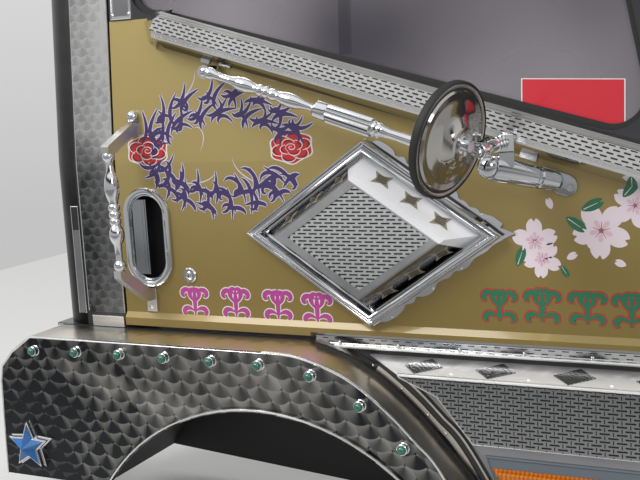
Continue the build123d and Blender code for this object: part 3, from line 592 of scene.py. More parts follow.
def solid_of(corners, finish=0):
    """The closed shape that a set of corners spans."""
    shape = bmesh.new()
    for corner in corners:
        shape.verts.new(corner)
    bmesh.ops.convex_hull(shape, input=shape.verts[:])
    return dressed(shape, finish)


def ring(outer, inner, low, high, bevel, finish=0):
    """A closed ring between two outlines with as many points each, with rounded front edges."""
    shape = bmesh.new()
    loops = []
    for points, inset, level in ((outer, 0, low), (outer, 0, high - bevel), (outer, 0.3, high - bevel * 0.3),
                                 (outer, 1, high), (inner, -1, high), (inner, -0.3, high - bevel * 0.3),
                                 (inner, 0, high - bevel), (inner, 0, low)):
        row = []
        for (x, y), before, after in zip(points, points[-1:] + points, points[1:] + points[:1]):
            nx, ny = after[1] - before[1], before[0] - after[0]
            shift = inset * bevel / hypot(nx, ny)
            row.append(shape.verts.new((x - shift * nx, y - shift * ny, level)))
        loops.append(row)
    joined_loops(shape, loops + loops[:1])
    return dressed(shape, finish, True)


def ribbon(points, widths, finish=0):
    """A flat stroke along a line of points, with a width at each."""
    shape = bmesh.new()
    left, right_side = [], []
    for i, point in enumerate(points):
        run = points[min(i + 1, len(points) - 1)] - points[max(i - 1, 0)]
        side = Vector((-run.y, run.x, 0)).normalized() * widths[i] / 2
        left.append(shape.verts.new(point + side))
        right_side.append(shape.verts.new(point - side))
    for i in range(len(points) - 1):
        shape.faces.new((right_side[i], right_side[i + 1], left[i + 1], left[i]))
    return dressed(shape, finish)


def finished(name, shapes, materials, replaced=None, body="door", sharp=35.0,
             outward=True):
    """Join shapes into one piece that rides on its body, in place of the node named, if there is one."""
    joined = bmesh.new()
    for shape in shapes:
        holder = bpy.data.meshes.new("holder")
        shape.to_mesh(holder)
        shape.free()
        joined.from_mesh(holder)
        bpy.data.meshes.remove(holder)
    bmesh.ops.remove_doubles(joined, verts=joined.verts, dist=0.0005)
    if outward:
        bmesh.ops.recalc_face_normals(joined, faces=joined.faces)
    bmesh.ops.transform(joined, matrix=TO_FRAME, verts=joined.verts)
    mesh = bpy.data.meshes.new(name)
    joined.to_mesh(mesh)
    joined.free()
    for made in materials:
        mesh.materials.append(made)
    mesh.set_sharp_from_angle(angle=radians(sharp))
    piece = bpy.data.objects.new(name, mesh)
    scene.collection.objects.link(piece)
    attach(piece, body)
    if replaced:
        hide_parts(replaced)


def evaluated(holder):
    """Take an object's evaluated mesh as a plain shape, and remove the object."""
    scene.collection.objects.link(holder)
    mesh = bpy.data.meshes.new_from_object(holder.evaluated_get(bpy.context.evaluated_depsgraph_get()))
    bpy.data.batch_remove((holder, holder.data))
    shape = bmesh.new()
    shape.from_mesh(mesh)
    bpy.data.meshes.remove(mesh)
    return shape


# Geometry Nodes: one tree lays out cells in staggered rows, the other sets copies along a line
def new_tree(name, *sockets):
    """A tree that takes a piece, the sockets named and a finish. Returns it and what it is given, by name."""
    tree = bpy.data.node_groups.new(name, "GeometryNodeTree")
    for label, kind in (("Piece", "Geometry"), *sockets, ("Finish", "Material")):
        tree.interface.new_socket(label, in_out="INPUT", socket_type="NodeSocket" + kind)
    tree.interface.new_socket("Result", in_out="OUTPUT", socket_type="NodeSocketGeometry")
    return tree, {output.name: Value(output) for output in node(tree, "NodeGroupInput", {}).outputs}


def copies_on(points, given):
    """End a tree: its piece on every point, made real and given its finish."""
    tree = points.tree
    copies = value_of(tree, "GeometryNodeInstanceOnPoints", {"Points": points, "Instance": given["Piece"]})
    real = value_of(tree, "GeometryNodeRealizeInstances", {"Geometry": copies})
    faced = value_of(tree, "GeometryNodeSetMaterial", {"Geometry": real, "Material": given["Finish"]})
    node(tree, "NodeGroupOutput", {"Result": faced})
    return tree


def field_tree():
    tree, given = new_tree("staggered rows", ("Columns", "Int"), ("Rows", "Int"), ("Pitch", "Float"),
                           ("Row pitch", "Float"))
    wide, high = given["Pitch"] * (given["Columns"] - 1.0), given["Row pitch"] * (given["Rows"] - 1.0)
    sizes = {"Size X": wide, "Size Y": high, "Vertices X": given["Columns"], "Vertices Y": given["Rows"]}
    grid = value_of(tree, "GeometryNodeMeshGrid", sizes)
    up = parts_of(value_of(tree, "GeometryNodeInputPosition", {}))[1]
    row = ((up + high * 0.5) / given["Row pitch"]).step("ROUND")
    # Every other row is set aside by half a pitch.
    offset = value_of(tree, "ShaderNodeCombineXYZ", {0: row.step("PINGPONG", 1.0) * (given["Pitch"] * 0.5)})
    return copies_on(value_of(tree, "GeometryNodeSetPosition", {"Geometry": grid, "Offset": offset}), given)


def line_tree():
    tree, given = new_tree("copies along a line", ("Start", "Vector"), ("Step", "Vector"), ("Count", "Int"))
    settings = {"Count": given["Count"], "Start Location": given["Start"], "Offset": given["Step"]}
    return copies_on(value_of(tree, "GeometryNodeMeshLine", settings), given)


def grown(tree, seed, values, finish=0):
    """Run a tree on a seed shape and take the result as a plain shape."""
    mesh = bpy.data.meshes.new("seed")
    seed.to_mesh(mesh)
    seed.free()
    holder = bpy.data.objects.new("seed", mesh)
    grower = holder.modifiers.new("grow", "NODES")
    grower.node_group = tree
    sockets = {item.name: item.identifier for item in tree.interface.items_tree}
    for name, value in values.items():
        grower[sockets[name]] = value
    shape = evaluated(holder)
    for face in shape.faces:
        face.material_index = finish
    return shape


STAGGERED = field_tree()
IN_LINE = line_tree()


def slot_cell(pitch, row, long, high, deep):
    """One cell of a perforated sheet, with an oblong hole whose wall goes back."""
    shape = bmesh.new()
    count, near = 12, 1e-4
    half_wide, half_high, straight = pitch / 2, row / 2, max(long - high, 0.0) / 2
    hole, edge = [], []
    for index in range(count):
        angle = 2 * pi * (index + 0.5) / count
        hole.append((high / 2 * cos(angle) + copysign(straight, cos(angle)), high / 2 * sin(angle)))
        reach = min(half_wide / max(abs(cos(angle)), 1e-6), half_high / max(abs(sin(angle)), 1e-6))
        edge.append((reach * cos(angle), reach * sin(angle)))
    outer, inner, back = ([shape.verts.new((x, y, level)) for x, y in line]
                          for line, level in ((edge, 0), (hole, 0), (hole, -deep)))
    corners = {(a, b): shape.verts.new((a * half_wide, b * half_high, 0)) for a, b in oblong(-1, -1, 1, 1)}
    for i in range(count):
        j = (i + 1) % count
        # A face that turns from a side of the cell to its top or foot takes in the corner.
        turned = [corners[copysign(1, a[0]), copysign(1, b[1])]
                  for a, b in ((edge[i], edge[j]), (edge[j], edge[i]))
                  if abs(abs(a[0]) - half_wide) < near and abs(abs(b[1]) - half_high) < near]
        shape.faces.new([outer[i]] + turned[:1] + [outer[j], inner[j], inner[i]])
        shape.faces.new((inner[i], inner[j], back[j], back[i]))
    return shape


def perforated(outline, pitch, row, long, high, deep=2.0, anchor=None):
    """A perforated sheet in its own plane, cut to a convex outline. Sheets with one anchor share one grid."""
    xs, ys = zip(*outline)
    middle = [(min(xs) + max(xs)) / 2, (min(ys) + max(ys)) / 2]
    columns = ceil((max(xs) - min(xs)) / pitch) + 4
    rows = 2 * ceil((max(ys) - min(ys)) / row / 2) + 3
    if anchor:
        middle = [start + round((value - start) / step) * step
                  for value, start, step in zip(middle, anchor, (pitch, row))]
        if round((middle[1] - anchor[1]) / row - (rows - 1) / 2) % 2:
            rows += 2
    sheet = grown(STAGGERED, slot_cell(pitch, row, long, high, deep),
                  {"Columns": columns, "Rows": rows, "Pitch": pitch, "Row pitch": row, "Finish": mesh_steel})
    moved(sheet, *middle, 0)
    side = copysign(1, area_of(outline))
    for a, b in zip(outline, outline[1:] + outline[:1]):
        normal = Vector((b[1] - a[1], a[0] - b[0], 0)) * side
        bmesh.ops.bisect_plane(sheet, geom=sheet.verts[:] + sheet.edges[:] + sheet.faces[:], plane_co=(*a, 0),
                               plane_no=normal.normalized(), clear_outer=True)
    return sheet


def backed_sheet(outline, sizes, back, finish=0):
    """A perforated sheet, and at a distance behind its slots a flat face in the next finish, painted as the
    shade there.
    """
    return [dressed(perforated(outline, *sizes), finish), moved(flat(outline, finish + 1), 0, 0, -back)]


# Grab handle: a turned bar on two straps that run in to the door
grab_top, grab_low = (-413.4, -75.0, 180.0), (-406.8, -75.0, -61.0)
TOP_TURN, LOW_TURN = -10, -13.5
bar_rows = [(0, 8), (4, 12), (14, 12, 1), (20, 7), (38, 8), (99, 9, 7), (103, 9), (117, 9, 3), (131, 9, 3),
            (145, 9, 3), (184, 8, 7), (204, 7), (216, 7.5), (238, 8, 5), (241, 7)]


def strap(outline, at_x, turn):
    """A flat strap, with its outline given as the distance inboard of the bar and the height."""
    shape = moved(plate([(-y, z) for y, z in outline], 22.0, 1.5, 1), 0, 0, -11.0)
    across = Matrix.Rotation(radians(turn), 3, "Z") @ OUT
    return placed(shape, (at_x, grab_top[1], 0), across, across.cross(UP))


top_strap = [(-10, 178), (-10, 190), (-6, 194), (62, 232), (90, 232), (90, 206), (60, 206), (8, 176)]
low_strap = [(-10, -56), (-10, -70), (-6, -75), (56, -128), (90, -128), (90, -104), (64, -104), (8, -58)]
tab_x = grab_low[0] + grab_low[1] * tan(radians(LOW_TURN))
finished("turned_grab_handle", [
    lathe(bar_rows, grab_top, grab_low),
    strap(top_strap, grab_top[0], TOP_TURN),
    strap(low_strap, grab_low[0], LOW_TURN),
    placed(plate(oblong(-12, -154, 12, -104), 4.0, 1.0, 1), (tab_x, 0, 0)),
    dome((tab_x, -4, -144), 4.5, 3.0),
    lathe([(0, 12), (9, 12)], (-404, 8, 240), (-402, -4, 246), 24),
    dome((-402.4, -1.5, 245), 12.0, 10.0, (0.1, -0.9, 0.4)),
], [chrome, strap_steel], "grab_handle")

# Brace bar: turned from the belt to a fluted grip, and on to the mirror's knuckle
brace_rear, knuckle = (-187.0, -62.0, 322.5), Vector((358.5, -90.0, 141.0))
brace_rows = [(0, 8), (5, 11), (18, 11, 1), (24, 8), (47, 7.4), (63, 9), (109, 9.5, 4.2), (117, 9),
              (130, 9, 2), (143.5, 9, 2), (159.5, 9, 2), (163, 9.5), (215, 8.5, 4.2), (234, 6.4), (240, 6.8),
              (241, 14), (244, 16.5), (264, 16.5), (267, 15), (268, 16.2), (355, 16.2), (357, 12),
              (366, 12, 2.5), (376, 11, 2.5), (391, 8.4), (430, 10), (545, 10)]
finished("turned_brace_bar", [
    lathe(brace_rows, brace_rear, knuckle, 64, flutes=(267.5, 355.5, 16, 0.9)),
    lathe([(0, 12.5), (90, 12.5)], (-207.0, 16.0, 322.5), brace_rear, 28),
    dome(brace_rear, 12.5, 12.5, (0.9, -0.4, -0.3)),
], [chrome], "belt_pipe")

# Mirror bracket: a stepped housing from an oval flange up to the knuckle, with a block for the arm
flange = Vector((447.0, -5.0, 107.0))
reach = (knuckle - flange).length
tilt = (knuckle.z - flange.z) / (knuckle.x - flange.x)
level, rise = 1 / hypot(1, tilt), tilt / hypot(1, tilt)
housing_rows = [(0, 17), (reach * 0.25, 18.4), (reach * 0.27, 16.5), (reach * 0.31, 16.5),
                (reach * 0.33, 19.2), (reach - 12, 22), (reach - 6, 21)]
oval = []
for angle in (2 * pi * i / 28 for i in range(28)):
    run, over = 18 * cos(angle) + copysign(19, cos(angle)), 18 * sin(angle)
    oval.append((flange.x + run * level - over * rise, flange.z + run * rise + over * level))
ball = [(20 * sin(radians(a)), 20 * cos(radians(a))) for a in range(-85, 86, 10)]
bolt = [(0, 7.5), (17, 7.5), (17.6, 10.5), (21.5, 10.5), (22.6, 9.2), (21.4, 8.0), (22.6, 6.6), (21.4, 5.2),
        (22.6, 4.0), (21.4, 2.6), (22.6, 1.0)]
elbow, tube_end = Vector((383.8, -76.0, 181.2)), Vector((367.9, -185.0, 173.3))
socket_top = elbow.z - 16.3
block, block_across = oblong(-12, -12, 12, 12), (1, 0.35, 0)
bracket = [placed(plate(oval, 5.0, 1.2), (0, 0, 0)),
           lathe(housing_rows, flange, knuckle, 40),
           standing(ball, knuckle, (0, -1, 0.2), 40),
           lathe([(0, 8.8), (34, 8.8)], knuckle, (elbow.x, elbow.y, socket_top - 20), 24),
           placed(plate(block, 24.0, 3.0), (elbow.x, elbow.y, socket_top - 24), block_across, UP),
           lathe(bolt, (339.6, 3.0, 184.9), (339.6, -20.0, 184.9), 28)]
for side in (-26, 26):
    place = (flange.x + side * level, flange.y, flange.z + side * rise)
    bracket += [standing([(0, 7.5), (1.2, 7.5)], place),
                standing([(1, 5.5), (4.4, 5.5), (5.2, 4.8)], place, OUT, 6)]
finished("mirror_bracket_piece", bracket, [bracket_steel], "mirror_bracket")

# The mirror's arm: a block on the bracket's one, and a tube with three bands and an open end painted dark
# inside as shade
run = (tube_end - elbow).length
arm_rows = [(0, 10), (14, 10), (15, 11.6), (20, 11.6), (21, 9.6), (25, 9.6), (26, 11.6), (31, 11.6),
            (32, 9.6), (36, 9.6), (37, 11.6), (42, 11.6), (43, 10), (run - 36, 10), (run - 34, 8.8),
            (run - 30, 8.8), (run - 29, 9.6), (run - 26, 9.6), (run - 25, 8.8), (run - 1, 8.8), (run, 8.0),
            (run, 5.4), (run - 9, 5.2)]
finished("mirror_arm_piece", [
    placed(plate(block, 28.0, 4.0), (elbow.x, elbow.y, elbow.z - 15.6), block_across, UP),
    dome(elbow + UP * 12, 6.0, 4.0, UP),
    lathe(arm_rows, elbow, tube_end, 28),
    lathe([(run - 9, 5.1), (run - 8.6, 5.1)], elbow, tube_end, 20, finish=1),
], [chrome, shadow], "mirror_arm", "mirror_arm")

# The round mirror: a dished back with rings, a rubber rim, and a clamp on the arm
mirror_at, mirror_out = Vector((332.5, -214.3, 194.9)), Vector((0.934, -0.257, -0.250)).normalized()
R = 93.1
dish_rows = [(-2, R - 13), (-2, R - 3.4), (6.5, R - 3.4), (7.4, R - 5), (5.5, R * 0.88), (5.8, R * 0.86),
             (9.5, R * 0.83), (9.8, R * 0.74), (10.2, R * 0.70), (11.2, R * 0.66), (12.4, R * 0.60),
             (14, R * 0.50), (15, R * 0.44), (16.4, R * 0.41), (23.5, R * 0.31), (25, R * 0.30),
             (28, R * 0.285), (29, R * 0.26)]
rim_rows = [(-6, R - 13), (-6, R - 3), (-5, R - 1), (-3, R), (5, R), (7.4, R - 0.8), (8.6, R - 2.2),
            (8.2, R - 3.6), (6, R - 3.6)]
dish, rim = (standing(rows, mirror_at, mirror_out, 96) for rows in (dish_rows, rim_rows))
finished("mirror_dish", [dish], [dish_steel], "mirror_back", "mirror_head")
finished("mirror_rim_piece", [rim], [rubber], "mirror_rim", "mirror_head")
clamp_line = (tube_end - elbow).normalized()
clamp_at, boss_at = tube_end - clamp_line * 16, mirror_at + mirror_out * 29
sideways = clamp_line.cross(mirror_out).normalized()
boss_rows = [(0, 18), (2, 18), (2.5, 15.5), (4, 15.5), (5, 17), (5.5, 12), (6, 9), (14, 8.8)]
clamp = [standing([(-9, 11.2), (-8, 12.3), (8, 12.3), (9, 11.2)], clamp_at, clamp_line, 32),
         standing(boss_rows, boss_at, mirror_out, 36)]
clamp += [tube([boss_at + mirror_out * 9 + sideways * side * 6, clamp_at + sideways * side * 8.8], 4.0)
          for side in (-1, 1)]
finished("mirror_clamp_piece", clamp, [chrome], "mirror_clamp", "mirror_head")


# Sill trim below the glass: the CAD box keeps its place, and its front gets bright beads and a slotted strip
def lean_place(x, z, out=0.0):
    """A point at a distance from the leaning skin, given by x and true height."""
    return Vector((x, 0, LEAN_START)) + LEAN_UP * ((z - LEAN_START) / cos(LEAN)) + LEAN_OUT * out


FACE_OUT = 42.4
strip_start = lean_place(-304, 402, FACE_OUT)
strip_along = (lean_place(600, 124, FACE_OUT) - strip_start).normalized()
strip_up = LEAN_OUT.cross(strip_along)


def strip_local(x, z):
    """A place on the sill trim's front, measured along the strip and square to it."""
    step = lean_place(x, z, FACE_OUT) - strip_start
    return (step.dot(strip_along), step.dot(strip_up))


(left, low_edge), (far_right, _), (_, top_edge), (top_left, _), (rear, _) = (
    strip_local(*point) for point in ((-325, 392), (612, 105), (612, 159), (-300, 436), (-321, 425)))
rows_outline = [(rear - 2, low_edge + 13), (far_right - 1, low_edge + 13), (far_right - 1, top_edge - 12),
                (top_left - 8, top_edge - 12)]
strip_shapes = backed_sheet(rows_outline, (17.7, 6.6, 12.0, 2.9, 1.2), 1.3)
for middle, half, thick in ((11.6, 1.0, 1.6), (9.4, 1.0, 1.2), (7.2, 1.0, 1.2), (3.4, 2.4, 2.6)):
    bar = oblong(left + 2, low_edge + middle - half, far_right, low_edge + middle + half)
    strip_shapes.append(moved(plate(bar, thick, 0.4, 2), 0, 0, -1.6))
for low, high, thick, finish in ((12.0, 10.6, 2.2, 2), (9.6, 5.6, 1.4, 3), (4.6, 0.0, 2.4, 3)):
    band = [(top_left - 6, top_edge - low), (far_right, top_edge - low), (far_right, top_edge - high),
            (top_left, top_edge - high)]
    strip_shapes.append(moved(plate(band, thick, 0.5, finish), 0, 0, -1.6))
finished("slotted_trim_strip", all_placed(strip_shapes, strip_start + LEAN_OUT * 4.4, strip_along, LEAN_OUT),
         [white_steel, shadow, bead_steel, band_steel], "sill_trim_screen", outward=False)

# The trim's folded underside and one facet at the rear end, painted dark as shade, the other facet painted
# white as a highlight, and the plates that hold it below
EDGE_OUT = 44.6
under = [(x, z - drop, out) for x, z in ((-325, 392), (612, 105))
         for drop, out in ((-1, 44.0), (16.5, 1.0), (-6, 1.0))]
highlight_facet = [(-325, 391, EDGE_OUT), (-321, 425, EDGE_OUT), (-352, 392, 1.0), (-343.5, 374, 1.0),
               (-322, 392, 30.0), (-320, 420, 1.0)]
shade_facet = [(-321, 426, EDGE_OUT), (-301, 437, EDGE_OUT), (-352, 393, 1.0), (-340, 427, 1.0),
              (-330, 448, 1.0), (-300, 448, 1.0)]
trim_parts = [solid_of([lean_place(*corner) for corner in corners], finish)
              for corners, finish in ((under, 2), (highlight_facet, 1), (shade_facet, 2))]
for x, z, wide, high in ((-228, 349, 20, 17), (-186, 335, 26, 12), (404, 158, 30, 22)):
    tab = plate(oblong(-wide / 2, 8, wide / 2, 8 - high), 5.0, 1.0)
    trim_parts.append(placed(tab, lean_place(x, z, 0.5), strip_along, LEAN_OUT))
finished("trim_facets_and_tabs", trim_parts, [strap_steel, white_steel, edge_steel])

# Diamond: its middle on the door, half the ring's width and height, and the levels of its parts
DIAMOND = Vector((102.5, 0, 14.2))
FRAME_HALF = (251.5, 171.5)
SCREEN_OUT, FOOT_OUT = -58.2, -32


def shrunk(by):
    """Half the width and height of the ring's outline, drawn in by a distance."""
    share = 1 - by * hypot(*FRAME_HALF) / (FRAME_HALF[0] * FRAME_HALF[1])
    return Vector((FRAME_HALF[0] * share, FRAME_HALF[1] * share))


def rhombus(half):
    wide, high = half
    return [(-wide, 0), (0, -high), (wide, 0), (0, high)]


screen = backed_sheet(rhombus(shrunk(64.2)), (22.0, 6.7, 17.0, 2.9, 1.8), 1.9)
finished("slotted_diamond_screen", all_placed(screen, (DIAMOND.x, SCREEN_OUT, DIAMOND.z)),
         [screen_steel, shadow], "diamond_screen", outward=False)


# Lace plate: lobes and scrolls round the diamond's ring
def lace_edge(start, end, heights):
    """A plate with a scalloped edge between two corners of the ring. A height is at a share of the way."""
    along = (end - start).normalized()
    reach = (end - start).length
    edge = [(x, max(0.6, y)) for x, y in smooth_line([(share * reach, high) for share, high in heights], 5)]
    return placed(plate([(edge[0][0], -6)] + edge + [(edge[-1][0], -6)], 2.6), start, along)


ring_right, ring_top = DIAMOND + ALONG * FRAME_HALF[0], DIAMOND + UP * FRAME_HALF[1]
upper_heights = [(0.04, 2), (0.07, 12), (0.12, 15), (0.18, 14), (0.22, 7), (0.245, 12), (0.27, 14), (0.30, 8),
                 (0.33, 12), (0.38, 16), (0.45, 15), (0.50, 9), (0.53, 15), (0.58, 19), (0.64, 16), (0.67, 9),
                 (0.71, 11), (0.75, 8), (0.79, 12), (0.82, 10), (0.86, 14), (0.90, 17), (0.96, 16)]
lower_heights = [(0.02, 6), (0.08, 4), (0.14, 6), (0.19, 5), (0.23, 5), (0.28, 10), (0.33, 9), (0.37, 4),
                 (0.42, 7), (0.46, 4), (0.50, 3), (0.53, 9), (0.57, 12), (0.62, 9), (0.66, 2.5), (0.69, 7),
                 (0.72, 6), (0.75, 3), (0.78, 8), (0.84, 11), (0.91, 9), (0.95, 2)]
lace = [lace_edge(ring_top, ring_right, upper_heights),
        lace_edge(ring_right, DIAMOND - UP * FRAME_HALF[1], lower_heights)]
lace += [dome((x, -2.2, z), radius, 1.4) for x, z, radius in (
    (164, 152, 2.4), (203, 127, 2.2), (262, 92, 2.4), (318, 50, 2.2), (140, -140, 2.0), (222, -84, 2.2),
    (276, -46, 2.0))]
lace += [placed(plate(rhombus(shrunk(-2.0) * grow), high, 0.6), DIAMOND)
         for grow, high in ((1.0, 2.2), (0.985, 3.6))]
lace_tip = [(318, -12), (340, 1), (377, 18), (347, 27), (322, 44), (300, 14)]
lace.append(placed(plate(lace_tip, 2.8, 0.8), (0, 0, 0)))
finished("lace_plate", lace, [chrome], "diamond_plate")

# The diamond's ring: two beads with a channel between them. A row is how far in from the outline, and out.
ring_rows = [(0, 2.0), (0, 17.5), (0.5, 20.0), (1.8, 21.8), (3.4, 21.8), (4.7, 20.2), (5.3, 17.0),
             (6.2, 16.0), (9.0, 15.5), (9.8, 18.0), (11.0, 21.5), (12.6, 24.0), (14.6, 25.0), (16.4, 24.2),
             (17.6, 22.0), (18.4, 17.0), (18.6, 2.0)]
beads = bmesh.new()
loops = [[beads.verts.new((x, y, high)) for x, y in rhombus(shrunk(inset))] for inset, high in ring_rows]
joined_loops(beads, loops + loops[:1])
finished("diamond_ring", [placed(dressed(beads, 0, True), DIAMOND)], [chrome], "diamond_frame", sharp=50)

# Four-pointed openings along the diamond's flanks, painted tan as a reflection of the gold paint, with dark
# bars across them painted as shade.
openings = []
middle_half = (shrunk(19.9) + shrunk(49.0)) / 2
flank_high = (shrunk(49.0) - shrunk(19.9)).y
sides = [(0, -10), (10.5, 0), (0, 10), (-10.5, 0)]
four_points = [point for pair in zip(oblong(-17, -16, 17, 16), sides) for point in pair]
for sx in (-1, 1):
    for sz in (-1, 1):
        low_tip = Vector((sx * middle_half.x, FOOT_OUT, 0))
        high_tip = Vector((0, FOOT_OUT, sz * middle_half.y))
        out = (high_tip - low_tip).cross(Vector((0, -60, sz * flank_high))).normalized()
        out *= -copysign(1, out.y)
        across = (ALONG - out * out.x).normalized()
        for share in (0.22, 0.5, 0.78):
            middle = DIAMOND + low_tip.lerp(high_tip, share) + out * 0.2
            shapes = [plate(four_points, 0.5)] + [
                plate(oblong(-half, level - 0.8, half, level + 0.8), 1.2, 0.0, 1)
                for level, half in ((-7, 9.5), (-2.4, 9), (2.4, 9), (7, 9.5))]
            openings += all_placed(shapes, middle, across, out)
finished("flank_openings", openings, [gold_reflection_tan, shadow])

# Door handle: a bevelled rim round a pocket painted dark as shade, the pull in it, and the lock with its
# keyway painted as shade
handle_rim = [ring(stadium(110, 204), stadium(82, 176), 0.0, 8.0, 3.5),
              ring(stadium(84, 178), stadium(74, 168), -6.0, 3.0, 2.5, 2),
              ring(stadium(86, 180), stadium(82, 176), -30.0, 0.5, 0.4, 1),
              moved(plate(stadium(85, 179), 2.0, 0.0, 1), 0, 0, -32)]
finished("handle_rim", all_placed(handle_rim, (-386, 0, 0)), [chrome, shadow, paddle_steel], "handle_bezel")
pull = [plate(oblong(-17, -77, 17, 77), 8.0, 2.4), plate(oblong(10.5, -75, 14.5, 75), 10.0, 1.6),
        plate(oblong(-14, -74, 7, 74), 8.8, 0.7)]
stem = placed(plate(oblong(-17, -16, -1, 16), 30.0, 1.0), (-405, 32, 0))
finished("handle_pull", all_placed(pull, (-405, 6.5, 0)) + [stem], [paddle_steel], "handle_paddle")
lock_at = Vector((-294, 0, -76))
finished("door_lock", [
    standing([(0, 15.5), (2.4, 15.5), (4.2, 13.4), (4.2, 9.4), (3.4, 8.8), (3.0, 7.6)], lock_at, OUT, 36),
    standing([(3, 8.0), (5, 7.8), (6.4, 6.2), (6.8, 3.0)], lock_at, OUT, 32),
    placed(plate(oblong(-0.7, -4, 0.7, 4), 0.3, 0.0, 1), lock_at + OUT * 6.7),
], [chrome, shadow], "key_lock")

# Wheel arch: a bright bead round the panel, the star, and the marker lamps' collars
ARCH_MIDDLE = (-92.4, -738.3)
ARCH_RADIUS = 431.0
ARCH_FACE = -117.0


def arch_polar(angle, band):
    """A place given by its angle from the top of the wheel opening and its distance outside it."""
    reach = ARCH_RADIUS + band
    return (ARCH_MIDDLE[0] + reach * sin(radians(angle)), ARCH_MIDDLE[1] + reach * cos(radians(angle)))


FOOT_LEVEL, FOOT_BAND = -560.0, 60.0
foot_x = ARCH_MIDDLE[0] + ((ARCH_RADIUS + FOOT_BAND) ** 2 - (FOOT_LEVEL - ARCH_MIDDLE[1]) ** 2) ** 0.5
front_rows = ((2, 118.0), (10, 120.3), (20, 112.3), (29.5, 95), (37.5, 81), (45.5, 72))
front_corners = [(-36.0, -191.0)] + [arch_polar(*row) for row in front_rows] + [(foot_x, FOOT_LEVEL)]
front_run = smooth_line(front_corners, 8)
rear_run = [(-715, -495), (-707, -290), (-700, -258), (-670, -226), (-618, -191)]
outline = rear_run + [tuple(p) for p in front_run if p.x > -36 or p.y > -192]
opening = [arch_polar(angle, 4) for angle in range(-55, 66, 4)]
finished("arch_edge_beads", [tube([(x, ARCH_FACE - 0.5, z - 1.5) for x, z in outline], 2.6),
                             tube([(x, ARCH_FACE - 4, z) for x, z in opening], 2.0)],
         [white_steel], body="cab_side")

# The star: a stepped chrome base, and facets up to a tip
STAR_REACH, STAR_NOTCH, STAR_TIP = 53.0, 0.45, 38.0
star = bmesh.new()
star_rim = [polar(STAR_REACH * (STAR_NOTCH if i % 2 else 1), 90 + 36 * i) for i in range(10)]
levels = [(1.07, 0.0), (1.07, 3.0), (1.0, 4.5), (0.93, 5.0), (0.93, 8.5), (1.0, 10.0), (1.0, 14.0),
          (0.97, 15.5), (0.88, 15.5), (0.86, 17.0), (0.84, 17.4)]
loops = [[star.verts.new(point * grow + UP * level) for point in star_rim] for grow, level in levels]
joined_loops(star, loops)
star.faces.new(loops[0][::-1])
tip = star.verts.new((0, 0, STAR_TIP))
for first, second in zip(loops[-1], loops[-1][1:] + loops[-1][:1]):
    star.faces.new((first, second, tip)).material_index = 1
finished("star_piece", [placed(star, (-638.0, ARCH_FACE, -424.0))], [chrome, blue], "star_badge", "cab_side",
         sharp=10)

LENS_RADIUS = 8.4
collar_rows = [(0, 11), (2, 11), (3, 9.5), (9, 9.3), (10, 10.2), (12, 10.2), (12.8, 9.2), (12.8, LENS_RADIUS)]
lens_rows = [(12 + LENS_RADIUS * sin(radians(a)), LENS_RADIUS * cos(radians(a)))
             for a in (0, 10, 25, 40, 55, 70, 85)]
lamps = [(-607, -220), (-499, -216), (-393, -214), (-288, -214), (-183, -214), (-80, -214)] + [
    arch_polar(*row) for row in ((12.9, 93.6), (24.6, 78.7), (36.5, 57.1), (48.7, 27.2))]
for rows, made, *named in ((collar_rows, chrome, "marker_collars", "lamp_bases", "polished_steel"),
                           (lens_rows, green, "marker_lenses", "lamp_domes", "green_lens")):
    turned = [standing(rows, (x, ARCH_FACE, z), OUT, 20) for x, z in lamps]
    finished(named[0], turned, [made], named[1], "cab_side")

# Step: slotted scuff strip with a rolled lip, patterned tread, perforated riser with a plain foot. The faces
# behind their slots are painted shade.
STEP_END = 758
scuff = [perforated(oblong(-20, -197.5, STEP_END, -184.0), 24.0, 6.7, 12.0, 1.9, 0.8, anchor=(0, -187.4)),
         moved(flat(oblong(-20, -198, STEP_END, -183.5), 1), 0, 0, -0.9),
         moved(plate(oblong(-641, -198, -20, -192.5), 1.2, 0.3, 2), 0, 0, -1.4)]
rivets = grown(IN_LINE, dome((0, 0, 0), 3.2, 2.2),
               {"Start": (-560.0, -0.3, -195.4), "Step": (118.0, 0.0, 0.0), "Count": 11, "Finish": chrome}, 3)
lip = [tube([(-641, y, z), (STEP_END, y, z)], radius, 2)
       for y, z, radius in ((-1.5, -202, 3.6), (0, -197.6, 1.0))]
finished("slotted_scuff_strip", all_placed(scuff, (0, 0.2, 0)) + [rivets] + lip,
         [mesh_steel, shadow, bead_steel, chrome], "scuff_strip", "cab_side", outward=False)

# The tread is seen from above, so its outline's second number runs outboard before it is turned over.
tread = placed(plate([(90, -2), (760, -2), (760, 113), (191, 113)], 3.0, 0.4), (0, 0, -217), ALONG, UP)
for vert in tread.verts:
    vert.co.y = -vert.co.y
bmesh.ops.reverse_faces(tread, faces=tread.faces)
tread_parts = [tread, tube([(191, -113.6, -215.4), (STEP_END, -113.6, -215.4)], 3.4, 1)]
for x in (218, 349, 484, 619, 716):
    lozenge = backed_sheet(rhombus((36.0, 48)), (9.5, 6.6, 6.6, 4.2, 1.2), 1.2, 2)
    tread_parts += all_placed(lozenge, (x, -58, -212.6), ALONG, UP)
tread_parts += [dome((x, -92, -214), 3.6, 2.4, UP) for x in (282, 416, 551)]
finished("patterned_tread", tread_parts, [tread_painted_reflection, white_steel, mesh_steel, shadow], "step_tread",
         "cab_side", outward=False)

